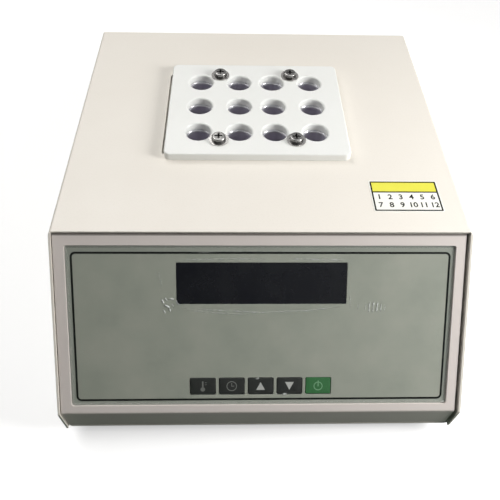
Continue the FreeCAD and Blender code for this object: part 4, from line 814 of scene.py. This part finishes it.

# %% [markdown]
# ## The clear film
# A new console is still under its protective film, and this one never lost it. Film clings, but it bridges the
# edge of the window, puckers beside it and lifts at its border. A cloth simulation could crease it, but hardly in
# the places that are wanted, so a grid is pushed up along drawn creases, with its lines closest where these are
# finest. Each point also remembers how creased it is, and the material lets the film show only there, in near
# white as a painted glint along the creases and the border.

# %% Creases, as lines on the console with a width and a height
CREASES = [
    ([(-58.0, -39.2), (-56.6, -41.8)], 0.5, 0.40), ([(-56.2, -42.6), (-53.2, -44.4)], 0.55, 0.60),
    ([(-53.4, -44.8), (-52.8, -47.0)], 0.4, 0.40), ([(-53.8, -39.0), (-50.6, -39.4)], 0.5, 0.50),
    ([(-56.0, -38.4), (-54.6, -40.4)], 0.4, 0.26), ([(-57.0, -45.4), (-55.8, -47.8)], 0.4, 0.22),
    ([(-59.6, -22.0), (-58.4, -28.0), (-57.2, -36.0)], 0.8, 0.11), ([(-52.0, -42.0), (-51.0, -44.4)], 0.4, 0.24),
    ([(-49.7, -39.6), (-48.9, -42.0), (-47.2, -42.9)], 0.4, 0.22),
    ([(50.9, -37.0), (51.5, -41.0), (51.2, -45.5)], 0.5, 0.12),
    ([(-50.5, -44.2), (-30.0, -45.8), (-1.0, -47.4), (28.0, -46.2), (50.0, -43.6)], 0.5, 0.15),
    ([(-46.0, -45.6), (-25.0, -47.8), (-5.0, -48.6)], 0.4, 0.16),
    ([(-48.0, -16.6), (-20.0, -15.7), (5.0, -15.9)], 0.4, 0.16),
    ([(12.0, -15.6), (32.0, -16.1), (48.0, -16.4)], 0.4, 0.16),
    ([(-47.0, -12.6), (-18.0, -11.2), (20.0, -11.6)], 0.4, 0.10),
    ([(-4.0, -87.0), (-1.0, -87.8)], 0.5, 0.3), ([(12.5, -97.4), (15.5, -97.8)], 0.5, 0.3),
    ([(108.2, -102.6), (110.4, -103.8)], 0.6, 0.5)]
PUCKERS = ((60.6, -41.2, 5.4, 0.16), (62.8, -40.8, 6.6, 0.30), (65.1, -41.0, 6.4, 0.36), (67.4, -41.4, 5.8, 0.30),
           (69.6, -42.0, 5.2, 0.24), (71.8, -42.8, 4.0, 0.14), (56.4, -40.4, 6.0, 0.12))
CREASES += [([(x, y), (x - 0.5, y - reach)], 0.4, rise) for x, y, reach, rise in PUCKERS]
print("creases:", len(CREASES))

# %% Where the grid's lines run, and how high the film stands at a point
FULL_MARK_RISE = 0.3
FILM_LIFT = 0.03 * MM
COARSE_STEP = 1.1
FINE_STEP = 0.3
FINE_ACROSS = ((-60.0, -46.0), (49.5, 74.0))
FINE_UP = ((-50.0, -23.0), (-18.0, -10.0))


def grid_lines(low, high, fine_spans):
    """Places from low to high in millimetres, close together where the creases are fine."""
    lines = [low]
    while lines[-1] < high - COARSE_STEP:
        fine = any(start <= lines[-1] < end for start, end in fine_spans)
        lines.append(lines[-1] + (FINE_STEP if fine else COARSE_STEP))
    return lines + [high]


def near_line(x, y, line):
    """Distance from a point to a bent line, and how far along it the nearest place is, 0 to 1."""
    best, where = 1e9, 0.0
    for number, (start, end) in enumerate(zip(line, line[1:])):
        run_x, run_y = end[0] - start[0], end[1] - start[1]
        share = ((x - start[0]) * run_x + (y - start[1]) * run_y) / (run_x * run_x + run_y * run_y)
        share = min(max(share, 0.0), 1.0)
        gap = math.hypot(x - start[0] - share * run_x, y - start[1] - share * run_y)
        if gap < best:
            best, where = gap, (number + share) / (len(line) - 1)
    return best, where


def crease_at(x, y):
    """Height of the film over the console and how creased it is, at a place given in millimetres."""
    height, mark = 0.0, 0.0
    for line, width, rise in CREASES:
        gap, where = near_line(x, y, line)
        if gap > 5 * width:
            continue
        wobble = 0.7 + 0.6 * noise.noise(Vector((x * 0.35, y * 0.35, 3.0)))
        ends = min(1.0, 4.0 * where + 0.25, 4.0 * (1.0 - where) + 0.25)
        hill = math.exp(-(gap / width) ** 2) * ends * wobble
        height += rise * hill
        mark = max(mark, hill * min(1.0, rise / FULL_MARK_RISE))
    return height, mark


print("finest step of the grid:", FINE_STEP, "mm")

# %% The film as a grid with its creases
film_low, film_high = slope_box("protective_film")
build = bmesh.new()
crease_layer = build.verts.layers.float.new("crease")
places_x = grid_lines(film_low.x / MM, film_high.x / MM, FINE_ACROSS)
places_y = grid_lines(film_low.y / MM, film_high.y / MM, FINE_UP)
grid = []
for place_y in places_y:
    line = []
    for place_x in places_x:
        x, y = place_x * MM, place_y * MM
        rise, mark = crease_at(place_x, place_y)
        edge = min(x - film_low.x, film_high.x - x, y - film_low.y, film_high.y - y) / MM
        curl = 0.12 * math.exp(-edge / 1.2) * (0.6 + 0.8 * noise.noise(Vector((x * 60, y * 60, 9.0))))
        sway = 0.02 * noise.noise(Vector((x * 45, y * 45, 0.0)))
        vertex = build.verts.new((x, y, film_low.z + FILM_LIFT + (rise + max(curl, 0.0) + max(sway, 0.0)) * MM))
        # The border adds to the mark, so it too gets the film's painted glint.
        vertex[crease_layer] = min(1.0, mark + 0.35 * math.exp(-edge / 0.5))
        line.append(vertex)
    grid.append(line)
for low_row, high_row in zip(grid, grid[1:]):
    for here in range(len(places_x) - 1):
        build.faces.new((low_row[here], low_row[here + 1], high_row[here + 1], high_row[here]))
film_mesh = bpy.data.meshes.new("film_sheet")
build.to_mesh(film_mesh)
build.free()
film_mesh.shade_smooth()
film = bpy.data.objects.new("film_sheet", film_mesh)
bpy.context.collection.objects.link(film)
film.matrix_world = SLOPE
thick = film.modifiers.new("film_thickness", "SOLIDIFY")
thick.thickness = 0.05 * MM
thick.offset = 1.0
print("film grid:", len(places_x), "by", len(places_y), "points,", len(CREASES), "creases")


# %% The film's material: clear where it lies flat, near white and opaque where it is creased, as a painted glint
def make_film():
    material, tree, shader, place = new_material("clear_film")
    mark = add_node(tree, "ShaderNodeAttribute", {"attribute_name": "crease"}).outputs["Fac"]
    smear = place_group(tree, MOTTLING, Vector=place, Colour=tone(240, 244, 240), Shade=tone(250, 251, 249),
                        Scale=30.0, Amount=0.8)
    # Painted glint: the creases turn near white and opaque where the film would catch the light.
    painted_glint_colour = mix_colours(tree, mark, tone(196, 202, 196), smear.outputs["Colour"])
    tree.links.new(painted_glint_colour, shader.inputs["Base Color"])
    veil = remap(tree, smear.outputs["Mask"], 0.0, 1.0, 0.0, 0.008)
    tree.links.new(combine(tree, "ADD", veil, remap(tree, mark, 0.14, 0.8, 0.0, 0.96)), shader.inputs["Alpha"])
    tree.links.new(remap(tree, smear.outputs["Mask"], 0.0, 1.0, 0.06, 0.14), shader.inputs["Roughness"])
    shader.inputs["Coat Weight"].default_value = 1.0
    shader.inputs["Coat Roughness"].default_value = 0.04
    return material


settle(film, make_film(), "clear_film", "case", "protective_film")
print("film material ready")

# %% [markdown]
# ## The white hole plate
# The plate over the block is thick white fluoropolymer: soft satin, very slightly warm, with its edges and the
# rims of its holes rounded over. It is the brightest thing in the portrait, so its rims are modelled in full
# instead of hinted at with a bump.

# %% The hole plate
WELL_RADIUS = 8.2 * MM
COLUMNS = (-37.9 * MM, -11.45 * MM, 11.45 * MM, 37.9 * MM)
ROWS = (-26.4 * MM, 0.0, 26.4 * MM)
SCREW_HOLE = 2.75 * MM
SCREW_ACROSS = 24.7 * MM
SCREW_ALONG = 34.4 * MM
plate_low, plate_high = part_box("hole_plate")
plate_middle = (plate_low + plate_high) / 2
plate_openings = [round_outline(plate_middle.x + x, plate_middle.y + y, WELL_RADIUS, 64) for x in COLUMNS
                  for y in ROWS]
screw_openings = [round_outline(plate_middle.x + side * SCREW_ACROSS, plate_middle.y + end * SCREW_ALONG,
                                SCREW_HOLE, 24) for side in (-1, 1) for end in (-1, 1)]
hole_plate = plate_piece("white_hole_plate", rounded_outline(plate_low.xy, plate_high.xy, 4.0 * MM, steps=10),
                         plate_openings + screw_openings, plate_low.z, plate_high.z, rims=(0.2 * MM, 0.9 * MM),
                         opening_rims=(0.15 * MM, 1.2 * MM), steps=6)
plate_white = finish("fluoropolymer", tone(243, 244, 241), tone(238, 239, 235), rough=(0.32, 0.44),
                     mottle=(40.0, 0.6), skin=(700.0, 0.04, 0.3), dust=0.04)
settle(hole_plate, plate_white, "hole_plate_white", "case", "hole_plate")
print("hole plate:", [round(size / MM, 1) for size in (plate_high - plate_low)], "mm,", len(plate_openings), "wells")

# %% [markdown]
# ## The block under the plate
# Through each hole one looks past the plate at the mouth of a well. On the real block that mouth is rounded over
# and polished by all the vials that went in, and it throws back a bright crescent of lamp. A sharp bore can't do
# that, so the block is modelled again with the mouths rounded, in the same place and size.

# %% The block with rounded well mouths
block_low, block_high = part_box("heating_block")
well_block = plate_piece("well_block", rounded_outline(block_low.xy, block_high.xy, 1.0 * MM), plate_openings,
                         block_low.z, block_high.z, rims=(0.3 * MM, 0.3 * MM), opening_rims=(0.0, MOUTH_ROUND),
                         steps=8)
settle(well_block, block_metal, "aluminium", "case", "heating_block")
print("block:", [round(size / MM, 1) for size in (block_high - block_low)], "mm")

# %% [markdown]
# ## The label
# A small two-part sticker lies on the top near the front edge: a yellow band over a white field, both outlined in
# black. The field carries the wells' numbers, which is all that a stranger needs there. The numbers start as text
# curves, which are turned into mesh so that the export carries them as they are.

# %% The label's sheet, outline and yellow band
label_low, label_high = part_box("number_label")
label_white = finish("label_white", tone(250, 250, 243), tone(243, 243, 233), rough=(0.3, 0.42), coat=0.3,
                     mottle=(60.0, 0.6), skin=(1800.0, 0.05, 0.5), dust=0.05)
label_yellow = finish("label_yellow", tone(236, 232, 84), tone(224, 218, 70), rough=(0.3, 0.42), coat=0.3,
                      mottle=(60.0, 0.6), skin=(1800.0, 0.05, 0.5))
sheet = plate_piece("label_sheet", rounded_outline(label_low.xy, label_high.xy, 1.0 * MM), [], label_low.z,
                    label_high.z - INK)
settle(sheet, label_white, "label", "case", "number_label")
MARGIN = 0.6 * MM
OUTLINE = 0.95 * MM
BAND = 8.3 * MM
border_low = label_low.xy + Vector((MARGIN, MARGIN))
border_high = label_high.xy - Vector((MARGIN, MARGIN))
divider = border_high.y - BAND
inside = Vector((OUTLINE, OUTLINE))
field_low = border_low + inside
field_high = Vector((border_high.x - OUTLINE, divider - OUTLINE))
label_openings = [shape_outline(rounded_outline(low, high, 0.2 * MM)()) for low, high in (
    (field_low, field_high), (Vector((border_low.x + OUTLINE, divider)), border_high - inside))]
border = plate_piece("label_outline", rounded_outline(border_low, border_high, 0.6 * MM), label_openings,
                     label_high.z - 2 * INK, label_high.z)
settle(border, ink, "black_plastic", "case")
band_low = Vector((border_low.x + OUTLINE / 2, divider - OUTLINE / 2))
band = plate_piece("label_band", rounded_outline(band_low, border_high - inside / 2, 0.2 * MM), [],
                   label_high.z - 2 * INK, label_high.z - INK / 2)
settle(band, label_yellow, "label", "case")
print("label:", [round(size / MM, 2) for size in (label_high - label_low)], "mm")


# %% The wells' numbers
def number_mesh(build, text, size, place):
    """Adds a number, centred at a place, to a mesh that is being built."""
    curve = bpy.data.curves.new("number", "FONT")
    curve.body = text
    curve.size = size
    curve.align_x = "CENTER"
    curve.align_y = "CENTER"
    curve.extrude = INK / 2
    curve.offset = size * 0.022
    carrier = bpy.data.objects.new("number", curve)
    bpy.context.collection.objects.link(carrier)
    bpy.context.view_layer.update()
    mesh = bpy.data.meshes.new_from_object(carrier.evaluated_get(bpy.context.evaluated_depsgraph_get()))
    mesh.transform(Matrix.Translation(place))
    build.from_mesh(mesh)
    bpy.data.objects.remove(carrier)
    bpy.data.curves.remove(curve)
    bpy.data.meshes.remove(mesh)


WELLS = len(plate_openings)
NUMBER_SIZE = 5.4 * MM
build = bmesh.new()
for number in range(WELLS):
    across_share = (number % 6 + 0.5) / 6
    up_share = 0.73 if number < 6 else 0.27
    spot = Vector((field_low.x + (field_high.x - field_low.x) * across_share,
                   field_low.y + (field_high.y - field_low.y) * up_share, label_high.z - INK / 2))
    number_mesh(build, str(number + 1), NUMBER_SIZE, spot)
settle(finish_mesh("label_numbers", build), ink, "black_plastic", "case")
print("numbers on the label:", WELLS)

# %% [markdown]
# ## On and off
# The mains switch at the rear is a rocker with the two usual signs, a bar and a ring. Its face is bent, so each
# sign is laid flat first and then dropped straight onto the rocker along a ray, point by point.


# %% Drop a flat sign onto a piece
def drop_onto(build, node, towards, lift):
    """Moves every vertex along a direction from the depth lift until it meets a kept solid, then back out."""
    solid = frame["nodes"][node]
    tree = BVHTree.FromPolygons([vertex.co for vertex in solid.data.vertices],
                                [tuple(face.vertices) for face in solid.data.polygons])
    for vertex in build.verts:
        height = vertex.co.y
        start = Vector((vertex.co.x, lift, vertex.co.z))
        met = tree.ray_cast(start, towards)[0]
        vertex.co = Vector((met.x, met.y + height, met.z))


rocker_low, rocker_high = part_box("power_rocker")
rocker_x = (rocker_low.x + rocker_high.x) / 2
rocker_z = (rocker_low.z + rocker_high.z) / 2
print("rocker:", [round(size / MM, 1) for size in (rocker_high - rocker_low)], "mm")

# %% The two signs of the rocker
RISE = Matrix(((1, 0, 0, 0), (0, 0, 1, 0), (0, 1, 0, 0), (0, 0, 0, 1)))
signs = {"on_sign": (bar(0.0, -1.8 * MM, 3.6 * MM, 0.7 * MM), -5.4 * MM),
         "off_sign": (ring(0.0, 0.0, 1.9 * MM, 0.6 * MM, 24), 5.4 * MM)}
white_ink = print_ink("white_ink", tone(226, 226, 222), tone(208, 208, 204))
for name, ((outline, openings), shift) in signs.items():
    build = bmesh.new()
    plate_mesh(build, outline, openings, -2 * INK, 2 * INK)
    bmesh.ops.transform(build, verts=build.verts,
                        matrix=Matrix.Translation((rocker_x + shift, 0, rocker_z)) @ RISE)
    drop_onto(build, "power_rocker", Vector((0, -1, 0)), rocker_high.y + 10 * MM)
    settle(finish_mesh(name, build), white_ink, "white_plastic", "power_rocker")
print("signs:", ", ".join(signs))

# %% [markdown]
# ## Floor and light
# A product portrait wants soft lamps, a weak even fill and a background that is simply white. That white is only
# for the eye: rays from the camera or through glass meet it, while the light that falls on the paint stays at a
# plain level, so the chin under the slope keeps its shade. The floor glows a little near the case, where it has to
# keep the shadow, and more farther out, where the lamps no longer reach. Gloss sees a grey floor, walls that grow
# paler to the right and a bright ceiling, which puts the lines of light on the screws and the mouths of the wells.


# %% Pale floor that keeps the shadow
def seen_directly(tree, path):
    """1 for rays that show the background itself: from the camera or through glass."""
    return combine(tree, "MAXIMUM", path.outputs["Is Camera Ray"], path.outputs["Is Transmission Ray"])


FLOOR_SIZE = 4.0
build = bmesh.new()
bmesh.ops.create_grid(build, x_segments=4, y_segments=4, size=FLOOR_SIZE / 2)
floor_mesh = bpy.data.meshes.new("floor")
build.to_mesh(floor_mesh)
build.free()
floor = bpy.data.objects.new("floor", floor_mesh)
bpy.context.collection.objects.link(floor)
material, tree, shader, place = new_material("pale_floor")
tree.nodes.remove(shader)
path = tree.nodes.new("ShaderNodeLightPath")
dark = add_node(tree, "ShaderNodeBsdfDiffuse", Color=(0.025, 0.045, 0.028, 1))
plain = add_node(tree, "ShaderNodeBsdfDiffuse", Color=(0.26, 0.32, 0.27, 1))
pale = add_node(tree, "ShaderNodeBsdfDiffuse", Color=(0.80, 0.80, 0.80, 1))
away = add_node(tree, "ShaderNodeVectorMath", {"operation": "LENGTH"}, i0=place).outputs["Value"]
glow = add_node(tree, "ShaderNodeEmission", Color=(1, 1, 1, 1), Strength=remap(tree, away, 0.45, 1.3, 0.45, 1.0))
lit = add_node(tree, "ShaderNodeAddShader", i0=pale.outputs[0], i1=glow.outputs[0])
bounced = add_node(tree, "ShaderNodeMixShader", i0=path.outputs["Is Glossy Ray"], i1=dark.outputs[0],
                   i2=plain.outputs[0])
both = add_node(tree, "ShaderNodeMixShader", i0=seen_directly(tree, path), i1=bounced.outputs[0],
                i2=lit.outputs[0])
tree.links.new(both.outputs[0], tree.nodes["Material Output"].inputs["Surface"])
floor_mesh.materials.append(material)
print("floor:", FLOOR_SIZE, "m")


# %% World: white to the eye, a weak fill to the paint, a bright ceiling to gloss
def make_world():
    world = bpy.data.worlds.new("studio")
    bpy.context.scene.world = world
    world.use_nodes = True
    tree = world.node_tree
    tree.nodes.clear()
    path = add_node(tree, "ShaderNodeLightPath")
    way = add_node(tree, "ShaderNodeSeparateXYZ", i0=tree.nodes.new("ShaderNodeTexCoord").outputs["Generated"])
    shown = combine(tree, "ADD", remap(tree, way.outputs["X"], -0.25, 0.45, 0.06, 0.70),
                    remap(tree, way.outputs["Z"], 0.72, 0.86, 0.0, 0.9))
    gloss = add_node(tree, "ShaderNodeBackground", Color=(1, 1, 1, 1), Strength=shown)
    fill = add_node(tree, "ShaderNodeBackground", Color=(0.97, 1.0, 0.98, 1), Strength=0.04)
    white = add_node(tree, "ShaderNodeBackground", Color=(1, 1, 1, 1), Strength=1.0)
    first = add_node(tree, "ShaderNodeMixShader", i0=path.outputs["Is Glossy Ray"], i1=fill.outputs[0],
                     i2=gloss.outputs[0])
    second = add_node(tree, "ShaderNodeMixShader", i0=seen_directly(tree, path), i1=first.outputs[0],
                      i2=white.outputs[0])
    leave = tree.nodes.new("ShaderNodeOutputWorld")
    tree.links.new(second.outputs[0], leave.inputs["Surface"])
    return world


print("world:", make_world().name)

# %% [markdown]
# ## Lamps
# One lamp can't light the top evenly and the slope unevenly, so there are three area lamps. A wide one above and
# behind on the left lights the top; a weak one above the front fills the slope; a small one, low on the right and
# aimed in front of the case, brightens the slope's right end and leaves the chin dark.


# %% Three soft lamps
def soft_lamp(name, place, aim, size, watts, colour=(1.0, 1.0, 1.0)):
    """size is the lamp's width and height."""
    data = bpy.data.lights.new(name, "AREA")
    data.shape = "ELLIPSE"
    data.size = size[0]
    data.size_y = size[1]
    data.energy = watts
    data.color = colour
    lamp = bpy.data.objects.new(name, data)
    lamp.location = place
    lamp.rotation_mode = "QUATERNION"
    lamp.rotation_quaternion = (Vector(aim) - Vector(place)).to_track_quat("-Z", "Y")
    bpy.context.collection.objects.link(lamp)
    return lamp


CASE_MIDDLE = (0.0, 0.0, 0.08)
BEFORE_CASE = (0.0, -0.3, 0.05)
soft_lamp("ceiling_lamp", (-0.55, 0.42, 1.00), CASE_MIDDLE, (1.5, 0.7), 9.9, (1.0, 0.99, 0.975))
soft_lamp("front_fill", (-0.15, -0.05, 1.20), CASE_MIDDLE, (0.8, 0.8), 1.0, (1.0, 0.99, 0.98))
soft_lamp("near_lamp", (0.55, -0.19, 0.34), BEFORE_CASE, (0.28, 0.28), 4.8, (1.0, 0.99, 0.98))

# %% View settings
bpy.context.scene.view_settings.view_transform = "Standard"
